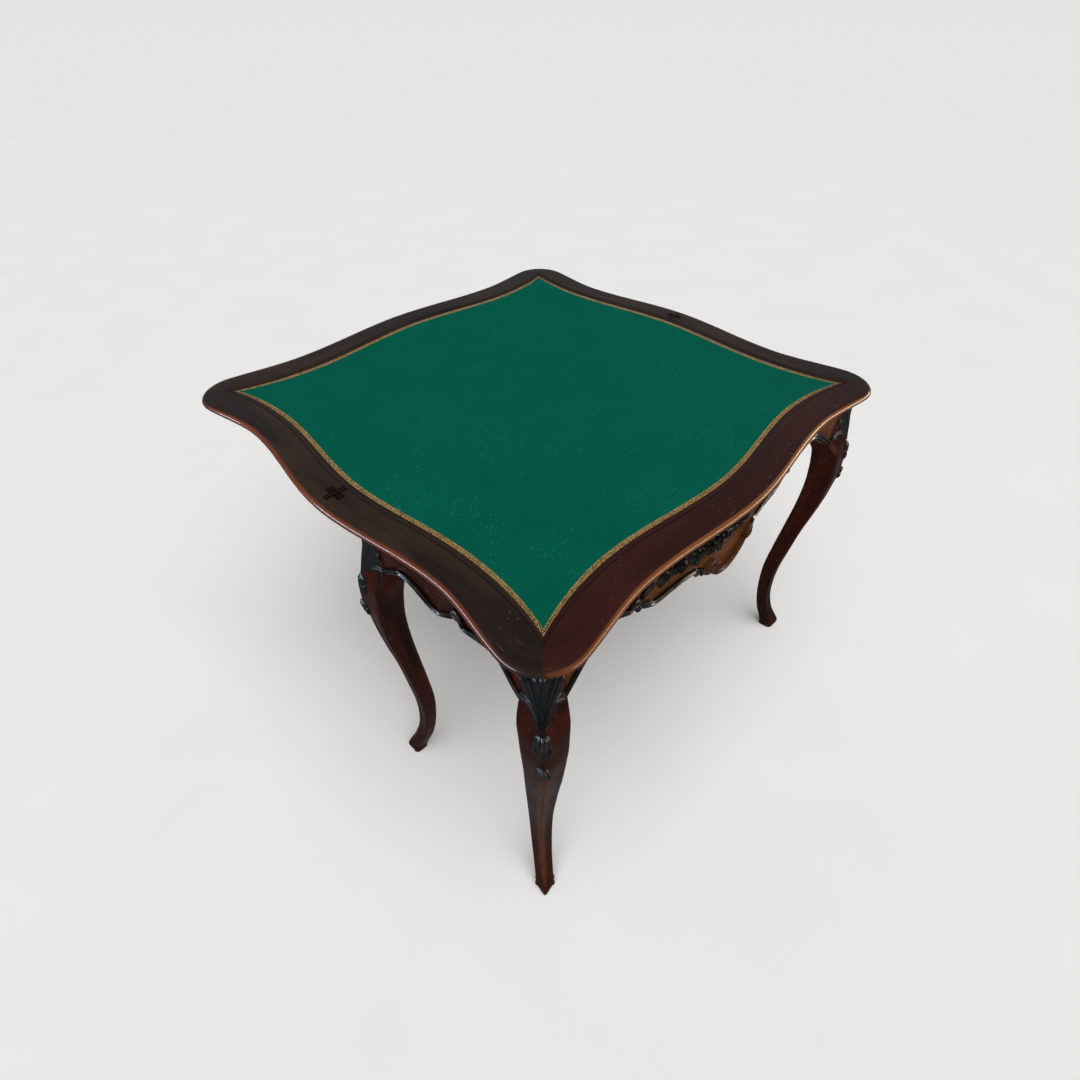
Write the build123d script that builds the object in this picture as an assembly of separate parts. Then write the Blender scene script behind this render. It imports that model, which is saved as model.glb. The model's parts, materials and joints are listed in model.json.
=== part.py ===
from build123d import *
import os
from math import cos, sin, radians

os.makedirs("parts", exist_ok=True)

# Folding serpentine card table, open for play. Millimetres, +Z up, +X along the carved front apron,
# which faces -Y. The origin is on the floor under the middle of the seam between the two leaves.

# Heights of the whole table
top_height = 730.0
leaf_thickness = 24.0
cut_margin = 60.0

# Outline of the open top: the carved front and its mirror at the back, then the two sides
front_rise = 457.5
front_dip = 435.0
front_dip_at = 252.0
side_rise = 468.0
side_dip = 442.0
side_dip_at = 243.0
corner_reach_x = 463.0
corner_reach_y = 452.5
corner_radius = 66.0
corner_flare_deg = 7.0
edge_upper_round = 10.0
edge_lower_round = 8.0

# Inner edge of the moulded rim, where the leather band starts
inset_front_rise = 395.5
inset_front_dip = 371.0
inset_side_rise = 405.0
inset_side_dip = 383.0
inset_corner_x = 405.0
inset_corner_y = 397.0
inset_corner_deg = 19.5
lip_width = 9.0
lip_drop = 1.6
panel_drop = 4.0
baize_thickness = 1.0
band_width = 7.5
band_thickness = 0.8

# The seam and its hinges
seam_half_gap = 0.2
hinge_barrel_radius = 1.5
hinge_pin_radius = 0.6
hinge_pin_play = 0.05
barrel_play = 0.3
hinge_centre_x = 434.0
hinge_knuckle_length = 7.0
hinge_knuckle_count = 5
hinge_flange_depth = 5.0
hinge_tongue_width = 12.0
hinge_tongue_depth = 18.0
hinge_plate_thickness = 1.6
hinge_let_in_play = 0.05
hinge_screw_radius = 1.4
hinge_screw_head_radius = 2.8
hinge_screw_length = 12.0

# Base frame
frame_inset = 28.0
frame_corner_radius = 12.0
apron_thickness = 24.0
frame_depth = 100.0
post_width = 50.0
post_depth = 44.0
back_face_y = -49.0
rear_post_draw = 4.0
outer_rail_thickness = 22.0
inner_rail_thickness = 22.0
rail_play = 0.5
back_rail_depth = 88.0
gate_top_play = 0.3

# Front apron, lower edge as shares of its half length and of its deepest drop
front_edge_drop = 172.0
lobe_x_shares = (0.0, 0.076, 0.126, 0.1465)
lobe_drop_shares = (1.0, 0.96, 0.872, 0.808)
drop_scroll_x_shares = (0.1465, 0.172, 0.199, 0.232)
drop_scroll_drop_shares = (0.808, 0.773, 0.797, 0.703)
side_lobe_x_shares = (0.232, 0.311, 0.394, 0.477, 0.543, 0.6035)
side_lobe_drop_shares = (0.703, 0.686, 0.709, 0.727, 0.663, 0.541)
arch_x_shares = (0.6035, 0.631, 0.695, 0.758, 0.833, 0.909, 1.0)
arch_drop_shares = (0.541, 0.576, 0.488, 0.424, 0.453, 0.564, 0.721)

# Side apron, lower edge as shares of its length from the rear post and of its deepest drop
side_edge_drop = 126.0
rear_wave_y_shares = (0.0, 0.071, 0.146, 0.243, 0.294, 0.366, 0.463, 0.511)
rear_wave_drop_shares = (0.857, 0.754, 0.698, 0.841, 0.944, 1.0, 0.889, 0.794)
front_wave_y_shares = (0.511, 0.544, 0.579, 0.663, 0.773, 0.832, 0.883, 0.951, 1.0)
front_wave_drop_shares = (0.794, 0.913, 0.913, 0.841, 0.730, 0.698, 0.762, 0.905, 0.984)

# Ebonised moulding on the lower edges
moulding_height = 11.0
moulding_relief = 6.0
volute_radius = 9.0

# Carved garland on the front apron: leaves and flowers placed by shares of the half length and drop
leaf_relief = 8.0
flower_relief = 15.0
leaf_length = 48.0
leaf_width = 22.0
rose_radius = 31.0
flower_radius = 18.0
petal_count = 5
petal_share = 0.56
rose_x_share = -0.114
rose_drop_share = 0.335
flower_x_shares = (-0.345, -0.222, 0.0, 0.115, 0.248, 0.355)
flower_drop_shares = (0.32, 0.37, 0.30, 0.26, 0.27, 0.25)
flower_size_shares = (0.85, 1.0, 1.0, 0.9, 0.85, 0.7)
leaf_x_shares = (-0.50, -0.455, -0.40, -0.30, -0.17, -0.05, 0.05, 0.17, 0.30, 0.43, 0.48)
leaf_drop_shares = (0.30, 0.43, 0.27, 0.44, 0.46, 0.46, 0.42, 0.38, 0.36, 0.30, 0.24)
leaf_turns_deg = (200, 235, 150, 250, 262, 285, 290, 300, 310, 330, 10)
leaf_size_shares = (1.0, 0.95, 0.8, 0.9, 0.85, 0.95, 0.9, 0.85, 0.85, 0.85, 0.8)

# Cabriole leg: where its ridge and its inner corner stand at each height
toe_throw_x = 24.0
toe_throw_y = 32.0
front_leg_forward = 5.0
leg_height_shares = (
    0.0, 0.017, 0.045, 0.085, 0.156, 0.234, 0.315, 0.408, 0.501, 0.581, 0.65, 0.70, 0.738, 0.78,
    0.822, 0.85, 0.891, 0.94, 1.0)
leg_ridge_shares = (
    0.07, 0.0, 0.18, 0.53, 0.98, 1.19, 1.21, 1.04, 0.84, 0.56, 0.36, 0.27, 0.21, 0.29,
    0.42, 0.54, 0.75, 1.0, 1.12)
leg_inner_shares = (
    1.02, 1.05, 1.23, 1.52, 1.87, 2.09, 2.19, 2.09, 1.94, 1.82, 1.77, 1.79, 1.86, 1.97,
    2.15, 2.32, 2.58, 2.70, 2.75)
leg_half_width_shares = (
    0.42, 0.43, 0.43, 0.44, 0.47, 0.50, 0.54, 0.60, 0.66, 0.71, 0.75, 0.79, 0.83, 0.86,
    0.89, 0.90, 0.90, 0.90, 0.90)
leg_corner_share = 0.22

# Carving on the knees
knee_relief = 5.0
acanthus_top_width = 62.0
acanthus_waist_width = 50.0
acanthus_bottom_width = 12.0
acanthus_length = 88.0
husk_width = 25.0
upper_husk_length = 64.0
lower_husk_length = 50.0
husk_gap = 2.0
carving_top_gap = 2.0

# Gate
pin_x = 30.0
finger_count = 5
finger_play = 0.3
knuckle_play = 0.3
gate_pin_radius = 3.0
gate_pin_play = 0.05
gate_open_deg = 90.0

# Inner timber and fastenings
block_leg = 46.0
block_depth = 38.0
bearer_width = 28.0
screw_radius = 2.25
screw_head_radius = 4.5
screw_head_depth = 3.0
screw_bite = 12.0
screw_play = 0.1
rail_screw_bite = 14.0
rail_screw_x_shares = (0.12, 0.5, 0.88)
bearer_screw_y_shares = (0.25, 0.75)

# Levels worked out from the sizes above
leaf_bottom = top_height - leaf_thickness
shoulder_height = leaf_bottom - frame_depth
panel_top = top_height - panel_drop
lip_top = top_height - lip_drop
baize_top = panel_top + baize_thickness
hinge_height = top_height + seam_half_gap
leg_throw = (toe_throw_x ** 2 + toe_throw_y ** 2) ** 0.5
frame_corner_x = corner_reach_x - frame_inset
frame_corner_y = corner_reach_y - frame_inset
frame_rounding = frame_corner_radius + frame_inset
post_inner_x = frame_corner_x - post_width
front_post_inner_y = -(frame_corner_y - post_depth)
rear_post_front_y = back_face_y - post_depth
outer_rail_back_y = rear_post_front_y + outer_rail_thickness
pin_y = rear_post_front_y + outer_rail_thickness / 2
inner_rail_back_y = rear_post_front_y - rail_play
inner_rail_front_y = inner_rail_back_y - inner_rail_thickness
rail_bottom = leaf_bottom - back_rail_depth
gate_top = leaf_bottom - gate_top_play
side_wide = side_rise + cut_margin


def block(x0, x1, y0, y1, z0, z1):
    """A box between two corners."""
    size = Box(x1 - x0, y1 - y0, z1 - z0)
    return Pos((x0 + x1) / 2, (y0 + y1) / 2, (z0 + z1) / 2) * size


def prism(face, z0, z1):
    """A plan outline made solid between two heights."""
    return Pos(0, 0, z0) * extrude(face, z1 - z0)


def wave(rise, dip, dip_at, end_at, end, end_deg):
    """One serpentine side, as points and tangents in (along, outward)."""
    points = [(-end_at, end), (-dip_at, dip), (0, rise), (dip_at, dip), (end_at, end)]
    lean = radians(end_deg)
    tangents = [(cos(lean), -sin(lean)), (1, 0), (1, 0), (1, 0), (cos(lean), sin(lean))]
    return points, tangents


def corner_ends(inset, rounding):
    """Where a rounded corner starts and ends, and its crown, at an inset from an outline so rounded."""
    lean = radians(corner_flare_deg)
    radius = rounding - inset
    centre_x = corner_reach_x - rounding
    centre_y = corner_reach_y - rounding
    start = (centre_x - radius * sin(lean), centre_y + radius * cos(lean))
    crown = (centre_x + radius * cos(radians(45)), centre_y + radius * sin(radians(45)))
    end = (centre_x + radius * cos(lean), centre_y - radius * sin(lean))
    return start, crown, end


def front_wave_curve(inset, rounding):
    """The serpentine of the front, in (along, outward)."""
    start, crown, end = corner_ends(inset, rounding)
    return wave(front_rise - inset, front_dip - inset, front_dip_at, start[0], start[1], corner_flare_deg)


def side_wave_curve(inset, rounding):
    """The serpentine of a side, in (along, outward)."""
    start, crown, end = corner_ends(inset, rounding)
    return wave(side_rise - inset, side_dip - inset, side_dip_at, end[1], end[0], corner_flare_deg)


def four_sides(front, side):
    """Both waves placed as the front, the back and the two sides of a plan."""
    front_points, front_tangents = front
    side_points, side_tangents = side
    back_edge = Spline(*front_points, tangents=front_tangents)
    front_edge = Spline(*[(x, -y) for x, y in front_points], tangents=[(x, -y) for x, y in front_tangents])
    right_edge = Spline(*[(y, x) for x, y in side_points], tangents=[(y, x) for x, y in side_tangents])
    left_edge = Spline(*[(-y, x) for x, y in side_points], tangents=[(-y, x) for x, y in side_tangents])
    return [back_edge, front_edge, right_edge, left_edge]


def outer_plan(inset, rounding):
    """The plan of the top with its corners so rounded, drawn in by an inset smaller than that."""
    edges = four_sides(front_wave_curve(inset, rounding), side_wave_curve(inset, rounding))
    start, crown, end = corner_ends(inset, rounding)
    for sx in (-1, 1):
        for sy in (-1, 1):
            arc_points = [(sx * x, sy * y) for x, y in (start, crown, end)]
            edges.append(ThreePointArc(*arc_points))
    return make_face(edges)


def inner_plan(inset):
    """The plan of the playing field, with its four pointed corners, drawn in by an inset."""
    front = wave(inset_front_rise - inset, inset_front_dip - inset, front_dip_at,
                 inset_corner_x - inset, inset_corner_y - inset, inset_corner_deg)
    side = wave(inset_side_rise - inset, inset_side_dip - inset, side_dip_at,
                inset_corner_y - inset, inset_corner_x - inset, inset_corner_deg)
    return make_face(four_sides(front, side))


def front_strip(outer_inset, inner_inset):
    """Plan of a serpentine strip along the front apron's line, between two insets."""
    points, tangents = front_wave_curve(frame_inset, frame_rounding)
    line = Spline(*[(x, -y) for x, y in points], tangents=[(x, -y) for x, y in tangents])
    outer_edge = Pos(0, outer_inset - frame_inset) * line
    inner_edge = Pos(0, inner_inset - frame_inset) * line
    closing = [Line(outer_edge @ 0, inner_edge @ 0), Line(outer_edge @ 1, inner_edge @ 1)]
    return make_face([outer_edge, inner_edge] + closing)


def left_strip(outer_inset, inner_inset):
    """Plan of a serpentine strip along the left apron's line, between two insets."""
    points, tangents = side_wave_curve(frame_inset, frame_rounding)
    line = Spline(*[(-y, x) for x, y in points], tangents=[(-y, x) for x, y in tangents])
    outer_edge = Pos(outer_inset - frame_inset, 0) * line
    inner_edge = Pos(inner_inset - frame_inset, 0) * line
    closing = [Line(outer_edge @ 0, inner_edge @ 0), Line(outer_edge @ 1, inner_edge @ 1)]
    return make_face([outer_edge, inner_edge] + closing)


def leaf_region(plan_side, x0=-side_wide, x1=side_wide):
    """A region that holds everything of one leaf, or of a part of its length."""
    low, high = leaf_bottom - cut_margin, top_height + cut_margin
    if plan_side < 0:
        return block(x0, x1, -side_wide, -seam_half_gap, low, high)
    return block(x0, x1, seam_half_gap, side_wide, low, high)


def front_wedge(plan_side):
    """The region of the long rim piece, bounded by the mitres at two corners."""
    apex = inset_corner_y - inset_corner_x
    foot = side_wide + apex
    corners = [(0, plan_side * apex), (-side_wide, plan_side * foot), (side_wide, plan_side * foot)]
    return prism(make_face(Polyline(*corners, close=True)), leaf_bottom - cut_margin, top_height + cut_margin)


def rim_ring():
    """The moulded rim all the way round, before it is cut into its pieces."""
    body = prism(outer_plan(0, corner_radius), leaf_bottom, top_height)
    upper = body.faces().sort_by(Axis.Z)[-1].edges()
    body = fillet(upper, edge_upper_round)
    lower = body.faces().sort_by(Axis.Z)[0].edges()
    body = fillet(lower, edge_lower_round)
    body -= prism(inner_plan(0), leaf_bottom - cut_margin, top_height + cut_margin)
    body -= prism(inner_plan(-lip_width), lip_top, top_height + cut_margin)
    return body


def hinge_knuckles(moving):
    """X ranges of the knuckles that belong to the fixed or the moving plate, about the hinge centre."""
    total = hinge_knuckle_length * hinge_knuckle_count
    ranges = []
    for index in range(hinge_knuckle_count):
        if (index % 2 == 1) == moving:
            start = -total / 2 + index * hinge_knuckle_length
            ranges.append((start, start + hinge_knuckle_length))
    return ranges


def barrel(radius, x0, x1):
    """A cylinder on the leaf hinge's axis."""
    middle = Pos((x0 + x1) / 2, 0, hinge_height)
    return middle * Rot(0, 90, 0) * Cylinder(radius, x1 - x0)


def hinge_plate(centre_x, moving):
    """Brass plate with its knuckles, let into the rim on one side of the seam."""
    sign = 1 if moving else -1
    half_row = hinge_knuckle_length * hinge_knuckle_count / 2
    low = top_height - hinge_plate_thickness
    near_y = sign * seam_half_gap
    flange = block(-half_row, half_row, min(near_y, sign * hinge_flange_depth),
                   max(near_y, sign * hinge_flange_depth), low, top_height)
    tongue = block(-hinge_tongue_width / 2, hinge_tongue_width / 2,
                   min(near_y, sign * hinge_tongue_depth), max(near_y, sign * hinge_tongue_depth),
                   low, top_height)
    plate = flange + tongue
    for x0, x1 in hinge_knuckles(not moving):
        plate -= barrel(hinge_barrel_radius + barrel_play, x0 - barrel_play, x1 + barrel_play)
    for x0, x1 in hinge_knuckles(moving):
        plate += barrel(hinge_barrel_radius, x0 + barrel_play / 2, x1 - barrel_play / 2)
    plate -= barrel(hinge_pin_radius + hinge_pin_play, -half_row - cut_margin, half_row + cut_margin)
    plate -= hinge_screw_solid(sign, hinge_let_in_play)
    return Pos(centre_x, 0, 0) * plate


def hinge_screw_solid(sign, play):
    """Countersunk screw of a hinge plate, or its hole with some play."""
    y = sign * (hinge_tongue_depth + hinge_flange_depth) / 2
    head_depth = hinge_plate_thickness
    shank = Cylinder(hinge_screw_radius + play, hinge_screw_length)
    head = Cone(hinge_screw_radius + play, hinge_screw_head_radius + play, head_depth)
    screw = Pos(0, 0, -hinge_screw_length / 2) * shank + Pos(0, 0, -head_depth / 2) * head
    return Pos(0, y, top_height) * screw


def hinge_recess(centre_x, moving):
    """What is cut from a leaf's rim for one hinge: the plate's bed, the barrel groove and the screw hole."""
    sign = 1 if moving else -1
    half_row = hinge_knuckle_length * hinge_knuckle_count / 2 + hinge_let_in_play
    low = top_height - hinge_plate_thickness
    outer = sign * (hinge_flange_depth + hinge_let_in_play)
    deep = sign * (hinge_tongue_depth + hinge_let_in_play)
    half_tongue = hinge_tongue_width / 2 + hinge_let_in_play
    bed = block(-half_row, half_row, min(0, outer), max(0, outer), low, top_height + cut_margin)
    bed += block(-half_tongue, half_tongue, min(0, deep), max(0, deep), low, top_height + cut_margin)
    groove = barrel(hinge_barrel_radius + barrel_play, -half_row - barrel_play, half_row + barrel_play)
    return Pos(centre_x, 0, 0) * (bed + groove + hinge_screw_solid(sign, hinge_let_in_play))


def hinge_pin(centre_x):
    """Steel pin of one leaf hinge."""
    half_row = hinge_knuckle_length * hinge_knuckle_count / 2
    return Pos(centre_x, 0, 0) * barrel(hinge_pin_radius, -half_row, half_row)


def leg_section(height, ridge, inner, half_width, growth):
    """One section of the cabriole leg: a square on its corner with rounded corners."""
    along = (inner - ridge) / 2 + growth
    across = half_width + growth
    spread = 1 - leg_corner_share / 2
    along /= spread
    across /= spread
    keep = 1 - leg_corner_share
    corners = [(along, 0), (0, across), (-along, 0), (0, -across)]
    edges = []
    for index in range(4):
        cx, cy = corners[index]
        px, py = corners[index - 1]
        nx, ny = corners[(index + 1) % 4]
        into = (cx * keep + px * leg_corner_share, cy * keep + py * leg_corner_share)
        out = (cx * keep + nx * leg_corner_share, cy * keep + ny * leg_corner_share)
        crown = (cx * spread, cy * spread)
        edges.append(ThreePointArc(into, crown, out))
        mx, my = nx * keep + cx * leg_corner_share, ny * keep + cy * leg_corner_share
        edges.append(Line(out, (mx, my)))
    face = make_face(edges)
    middle = (ridge + inner) / 2
    turn = Rot(0, 0, 45)
    shift = Pos(-toe_throw_x * middle / leg_throw, -toe_throw_y * middle / leg_throw, height)
    return shift * turn * face


def leg_loft(growth):
    """The cabriole leg alone, knee towards +X +Y, its toe tip over the local origin."""
    sections = []
    for level in range(len(leg_height_shares)):
        height = leaf_bottom * leg_height_shares[level]
        ridge = leg_throw * leg_ridge_shares[level]
        inner = leg_throw * leg_inner_shares[level]
        half_width = leg_throw * leg_half_width_shares[level]
        sections.append(leg_section(height, ridge, inner, half_width, growth))
    return loft(sections)



def front_toe():
    """Plan place of a front leg's toe, taken in the +X +Y quarter."""
    start, crown, end = corner_ends(frame_inset, frame_rounding)
    return crown[0] + toe_throw_x, crown[1] + toe_throw_y + front_leg_forward


def rear_toe():
    """Plan place of the rear leg's toe on the +X side, its knee towards +Y."""
    crown_draw = frame_corner_radius * (1 - cos(radians(45)))
    crown_x = side_rise - frame_inset - rear_post_draw - crown_draw
    return crown_x + toe_throw_x, back_face_y - crown_draw + toe_throw_y


def front_post(growth):
    """Post above a front knee, in the +X +Y quarter, with its faces moved out by the growth."""
    plan = outer_plan(frame_inset - growth, frame_rounding)
    body = prism(plan, shoulder_height, leaf_bottom)
    return body & block(post_inner_x, side_wide, -front_post_inner_y, side_wide, 0, top_height)


def rear_post(growth):
    """Post above the rear knee on the +X side, with its faces moved out by the growth."""
    plan = outer_plan(frame_inset - growth, frame_rounding)
    body = prism(plan, shoulder_height, leaf_bottom)
    body &= block(post_inner_x, side_wide, rear_post_front_y, back_face_y + growth, 0, top_height)
    corner = body.edges().filter_by(Axis.Z).sort_by(lambda edge: edge.center().X + edge.center().Y)[-1]
    return fillet(corner, frame_corner_radius)


def leg_at(toe, post, front_y):
    """A leg with its post: above the shoulder only what the post's square holds is kept."""
    loft_body = Pos(toe[0], toe[1], 0) * leg_loft(0)
    loft_body -= block(-side_wide, post_inner_x, -side_wide, side_wide, shoulder_height, top_height)
    loft_body -= block(-side_wide, side_wide, -side_wide, front_y, shoulder_height, top_height)
    return loft_body + post


def knee_prism(toe, outline):
    """A silhouette in (across, height), cut through the outer half of a knee along its diagonal."""
    middle = leg_inner_shares[-1] / 2
    start = (toe[0] - toe_throw_x * middle, toe[1] - toe_throw_y * middle, 0)
    face = Plane(origin=start, x_dir=(-1, 1, 0), z_dir=(1, 1, 0)) * outline
    return extrude(face, leg_throw * leg_inner_shares[-1])


def acanthus_outline():
    """Spreading leaf, wide under the top and narrow at its foot."""
    top = leaf_bottom - carving_top_gap
    foot = top - acanthus_length
    waist = (top + foot) / 2
    half_top = acanthus_top_width / 2
    half_waist = acanthus_waist_width / 2
    half_foot = acanthus_bottom_width / 2
    right = Spline((half_top, top), (half_waist, waist), (half_foot, foot))
    left = Spline((-half_top, top), (-half_waist, waist), (-half_foot, foot))
    return make_face([right, left, Line(right @ 0, left @ 0), Line(right @ 1, left @ 1)])


def husk_outline(top, length):
    """Bud shape: a rounded head that tapers to a blunt tip."""
    half = husk_width / 2
    tip = half / 3
    belly = top - length / 3
    right = Spline((0, top), (half, belly), (tip, top - length))
    left = Spline((0, top), (-half, belly), (-tip, top - length))
    return make_face([right, left, Line(right @ 1, left @ 1)])


def knee_carvings(toe, post_grown, leg):
    """The acanthus leaf and the pair of husks on one knee."""
    grown = Pos(toe[0], toe[1], 0) * leg_loft(knee_relief) + post_grown
    grown -= leg
    acanthus = grown & knee_prism(toe, acanthus_outline())
    first_top = leaf_bottom - carving_top_gap - acanthus_length - husk_gap
    second_top = first_top - upper_husk_length - husk_gap
    first = grown & knee_prism(toe, husk_outline(first_top, upper_husk_length))
    second = grown & knee_prism(toe, husk_outline(second_top, lower_husk_length))
    return acanthus, Compound(first.solids() + second.solids())


def edge_points(x_shares, drop_shares, length, drop, start=0.0, sign=1):
    """Points of a shaped lower edge, in (along, height)."""
    points = []
    for x_share, drop_share in zip(x_shares, drop_shares):
        points.append((start + sign * length * x_share, top_height - drop * drop_share))
    return points


def front_lower_edge():
    """The shaped lower edge of the front apron, from left to right."""
    runs = [(arch_x_shares, arch_drop_shares), (side_lobe_x_shares, side_lobe_drop_shares),
            (drop_scroll_x_shares, drop_scroll_drop_shares)]
    edges = []
    for x_shares, drop_shares in runs:
        for sign in (-1, 1):
            points = edge_points(x_shares, drop_shares, post_inner_x, front_edge_drop, sign=sign)
            edges.append(Spline(*points))
    left = edge_points(lobe_x_shares[1:], lobe_drop_shares[1:], post_inner_x, front_edge_drop, sign=-1)
    right = edge_points(lobe_x_shares, lobe_drop_shares, post_inner_x, front_edge_drop)
    edges.append(Spline(*(left[::-1] + right)))
    return edges


def side_lower_edge():
    """The shaped lower edge of a side apron, from the rear post to the front post."""
    length = rear_post_front_y - front_post_inner_y
    edges = []
    runs = [(rear_wave_y_shares, rear_wave_drop_shares), (front_wave_y_shares, front_wave_drop_shares)]
    for y_shares, drop_shares in runs:
        points = edge_points(y_shares, drop_shares, length, side_edge_drop, rear_post_front_y, -1)
        edges.append(Spline(*points))
    return edges


def closed_above(edges, left, right, height):
    """A face between a shaped lower edge and a level line."""
    ends = [edge @ 0 for edge in edges] + [edge @ 1 for edge in edges]
    left_end = min(ends, key=lambda point: point.X)
    right_end = max(ends, key=lambda point: point.X)
    rest = Polyline((left_end.X, left_end.Y), (left, height), (right, height), (right_end.X, right_end.Y))
    return make_face(edges + rest.edges())


def through_front(face):
    """A face in (x, height) made solid all the way through the front of the frame."""
    return Pos(0, -side_wide, 0) * extrude(Plane.XZ * face, side_wide, dir=(0, 1, 0))


def through_left(face):
    """A face in (y, height) made solid all the way through the left side of the frame."""
    return Pos(-side_wide, 0, 0) * extrude(Plane.YZ * face, side_wide, dir=(1, 0, 0))


def front_face(lift):
    """Elevation of the front apron, its lower edge lifted by some height."""
    edges = [Pos(0, lift) * edge for edge in front_lower_edge()]
    return closed_above(edges, -post_inner_x, post_inner_x, leaf_bottom)


def side_face(lift):
    """Elevation of a side apron, its lower edge lifted by some height."""
    edges = [Pos(0, lift) * edge for edge in side_lower_edge()]
    return closed_above(edges, front_post_inner_y, rear_post_front_y, leaf_bottom)


def front_apron():
    """Serpentine front apron with its shaped lower edge."""
    plan = front_strip(frame_inset, frame_inset + apron_thickness)
    return prism(plan, leaf_bottom - front_edge_drop, leaf_bottom) & through_front(front_face(0))


def left_apron():
    """Serpentine side apron with its shaped lower edge."""
    plan = left_strip(frame_inset, frame_inset + apron_thickness)
    return prism(plan, leaf_bottom - front_edge_drop, leaf_bottom) & through_left(side_face(0))


def volutes(places, drop, to_solid):
    """Round scroll ends of a moulding, as one solid through the frame."""
    body = None
    for along, share in places:
        disc = Pos(along, top_height - drop * share + volute_radius) * Circle(volute_radius)
        solid = to_solid(disc)
        body = solid if body is None else body + solid
    return body


def front_moulding():
    """Ebonised moulding glued along the lower edge of the front apron."""
    plan = prism(front_strip(frame_inset - moulding_relief, frame_inset),
                 leaf_bottom - front_edge_drop, leaf_bottom)
    band = through_front(front_face(0)) - through_front(front_face(moulding_height))
    places = []
    for share, drop_share in ((lobe_x_shares[-1], lobe_drop_shares[-1]),
                              (side_lobe_x_shares[-1], side_lobe_drop_shares[-1])):
        places += [(post_inner_x * share, drop_share), (-post_inner_x * share, drop_share)]
    band += volutes(places, front_edge_drop, through_front)
    return plan & band


def left_moulding():
    """Ebonised moulding glued along the lower edge of a side apron."""
    plan = prism(left_strip(frame_inset - moulding_relief, frame_inset),
                 leaf_bottom - front_edge_drop, leaf_bottom)
    band = through_left(side_face(0)) - through_left(side_face(moulding_height))
    length = rear_post_front_y - front_post_inner_y
    along = rear_post_front_y - length * rear_wave_y_shares[-1]
    band += volutes([(along, rear_wave_drop_shares[-1])], side_edge_drop, through_left)
    return plan & band


def lens(length, width):
    """Pointed leaf outline from the origin along +X."""
    upper = ThreePointArc((0, 0), (length / 2, width / 2), (length, 0))
    lower = ThreePointArc((0, 0), (length / 2, -width / 2), (length, 0))
    return make_face([upper, lower])


def blossom(radius):
    """Ring of round petals about a heart."""
    petal = petal_share * radius
    body = Circle(petal)
    for index in range(petal_count):
        body += Rot(0, 0, index * 360 / petal_count) * Pos(radius - petal, 0) * Circle(petal)
    return body


def on_front(face, relief):
    """An elevation outline made a relief that stands on the front apron's face."""
    plan = prism(front_strip(frame_inset - relief, frame_inset), leaf_bottom - front_edge_drop, leaf_bottom)
    return plan & through_front(face)


def garland_flowers():
    """Rose and smaller flowers of the garland, as separate elevation outlines."""
    rose = Pos(post_inner_x * rose_x_share, top_height - front_edge_drop * rose_drop_share) * blossom(rose_radius)
    flowers = []
    for x_share, drop_share, size in zip(flower_x_shares, flower_drop_shares, flower_size_shares):
        place = Pos(post_inner_x * x_share, top_height - front_edge_drop * drop_share)
        flowers.append(place * blossom(flower_radius * size))
    return rose, flowers


def garland_leaves():
    """Leaves of the garland, as elevation outlines."""
    leaves = []
    for x_share, drop_share, turn, size in zip(leaf_x_shares, leaf_drop_shares, leaf_turns_deg, leaf_size_shares):
        place = Pos(post_inner_x * x_share, top_height - front_edge_drop * drop_share)
        leaves.append(place * Rot(0, 0, turn) * lens(leaf_length * size, leaf_width * size))
    return leaves


def garland(moulding):
    """The rose, the flower heads and the leaf sprays, each cut clear of what lies over it."""
    rose_face, flower_faces = garland_flowers()
    rose = on_front(rose_face, flower_relief)
    flowers = on_front(flower_faces[0], flower_relief)
    for face in flower_faces[1:]:
        flowers += on_front(face, flower_relief)
    leaf_faces = garland_leaves()
    leaves = on_front(leaf_faces[0], leaf_relief)
    for face in leaf_faces[1:]:
        leaves += on_front(face, leaf_relief)
    flowers -= rose
    leaves = leaves - rose - flowers - moulding
    return rose, flowers, leaves


def apron_walls():
    """The front and side aprons' thickness at full height, to cut what stands against their backs."""
    inner = frame_inset + apron_thickness
    sides = prism(left_strip(frame_inset, inner), 0, top_height)
    sides += mirror(sides, about=Plane.YZ)
    return sides + prism(front_strip(frame_inset, inner), 0, top_height)


def inner_back_rail(walls):
    """Fixed inner rail between the two side aprons."""
    rail = block(-side_wide, side_wide, inner_rail_front_y, inner_rail_back_y, rail_bottom, leaf_bottom)
    return (rail - walls).solids().sort_by(SortBy.VOLUME)[-1]


def finger_levels(moving):
    """Height ranges of the wooden knuckle's fingers on the moving or the fixed rail."""
    pitch = back_rail_depth / finger_count
    levels = []
    for index in range(finger_count):
        if (index % 2 == 1) == moving:
            levels.append((rail_bottom + index * pitch, rail_bottom + (index + 1) * pitch))
    return levels


def about_pin(radius, z0, z1):
    """A cylinder on the gate's axis."""
    return Pos(pin_x, pin_y, (z0 + z1) / 2) * Cylinder(radius, z1 - z0)


def pin_bore():
    """Running bore of the gate's pin."""
    return about_pin(gate_pin_radius + gate_pin_play, 0, top_height)


def fixed_back_rail():
    """Fixed half of the outer back rail, with the wooden fingers that carry the gate."""
    knuckle = outer_rail_thickness / 2
    shoulder_x = pin_x - knuckle - knuckle_play
    rail = block(-post_inner_x, shoulder_x, inner_rail_back_y, outer_rail_back_y, rail_bottom, leaf_bottom)
    rail += block(shoulder_x, pin_x - knuckle_play, inner_rail_back_y, pin_y, rail_bottom, leaf_bottom)
    for z0, z1 in finger_levels(True):
        rail -= about_pin(knuckle + knuckle_play, z0, z1)
    for z0, z1 in finger_levels(False):
        rail += about_pin(knuckle, z0, z1)
    return rail - pin_bore()


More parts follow.
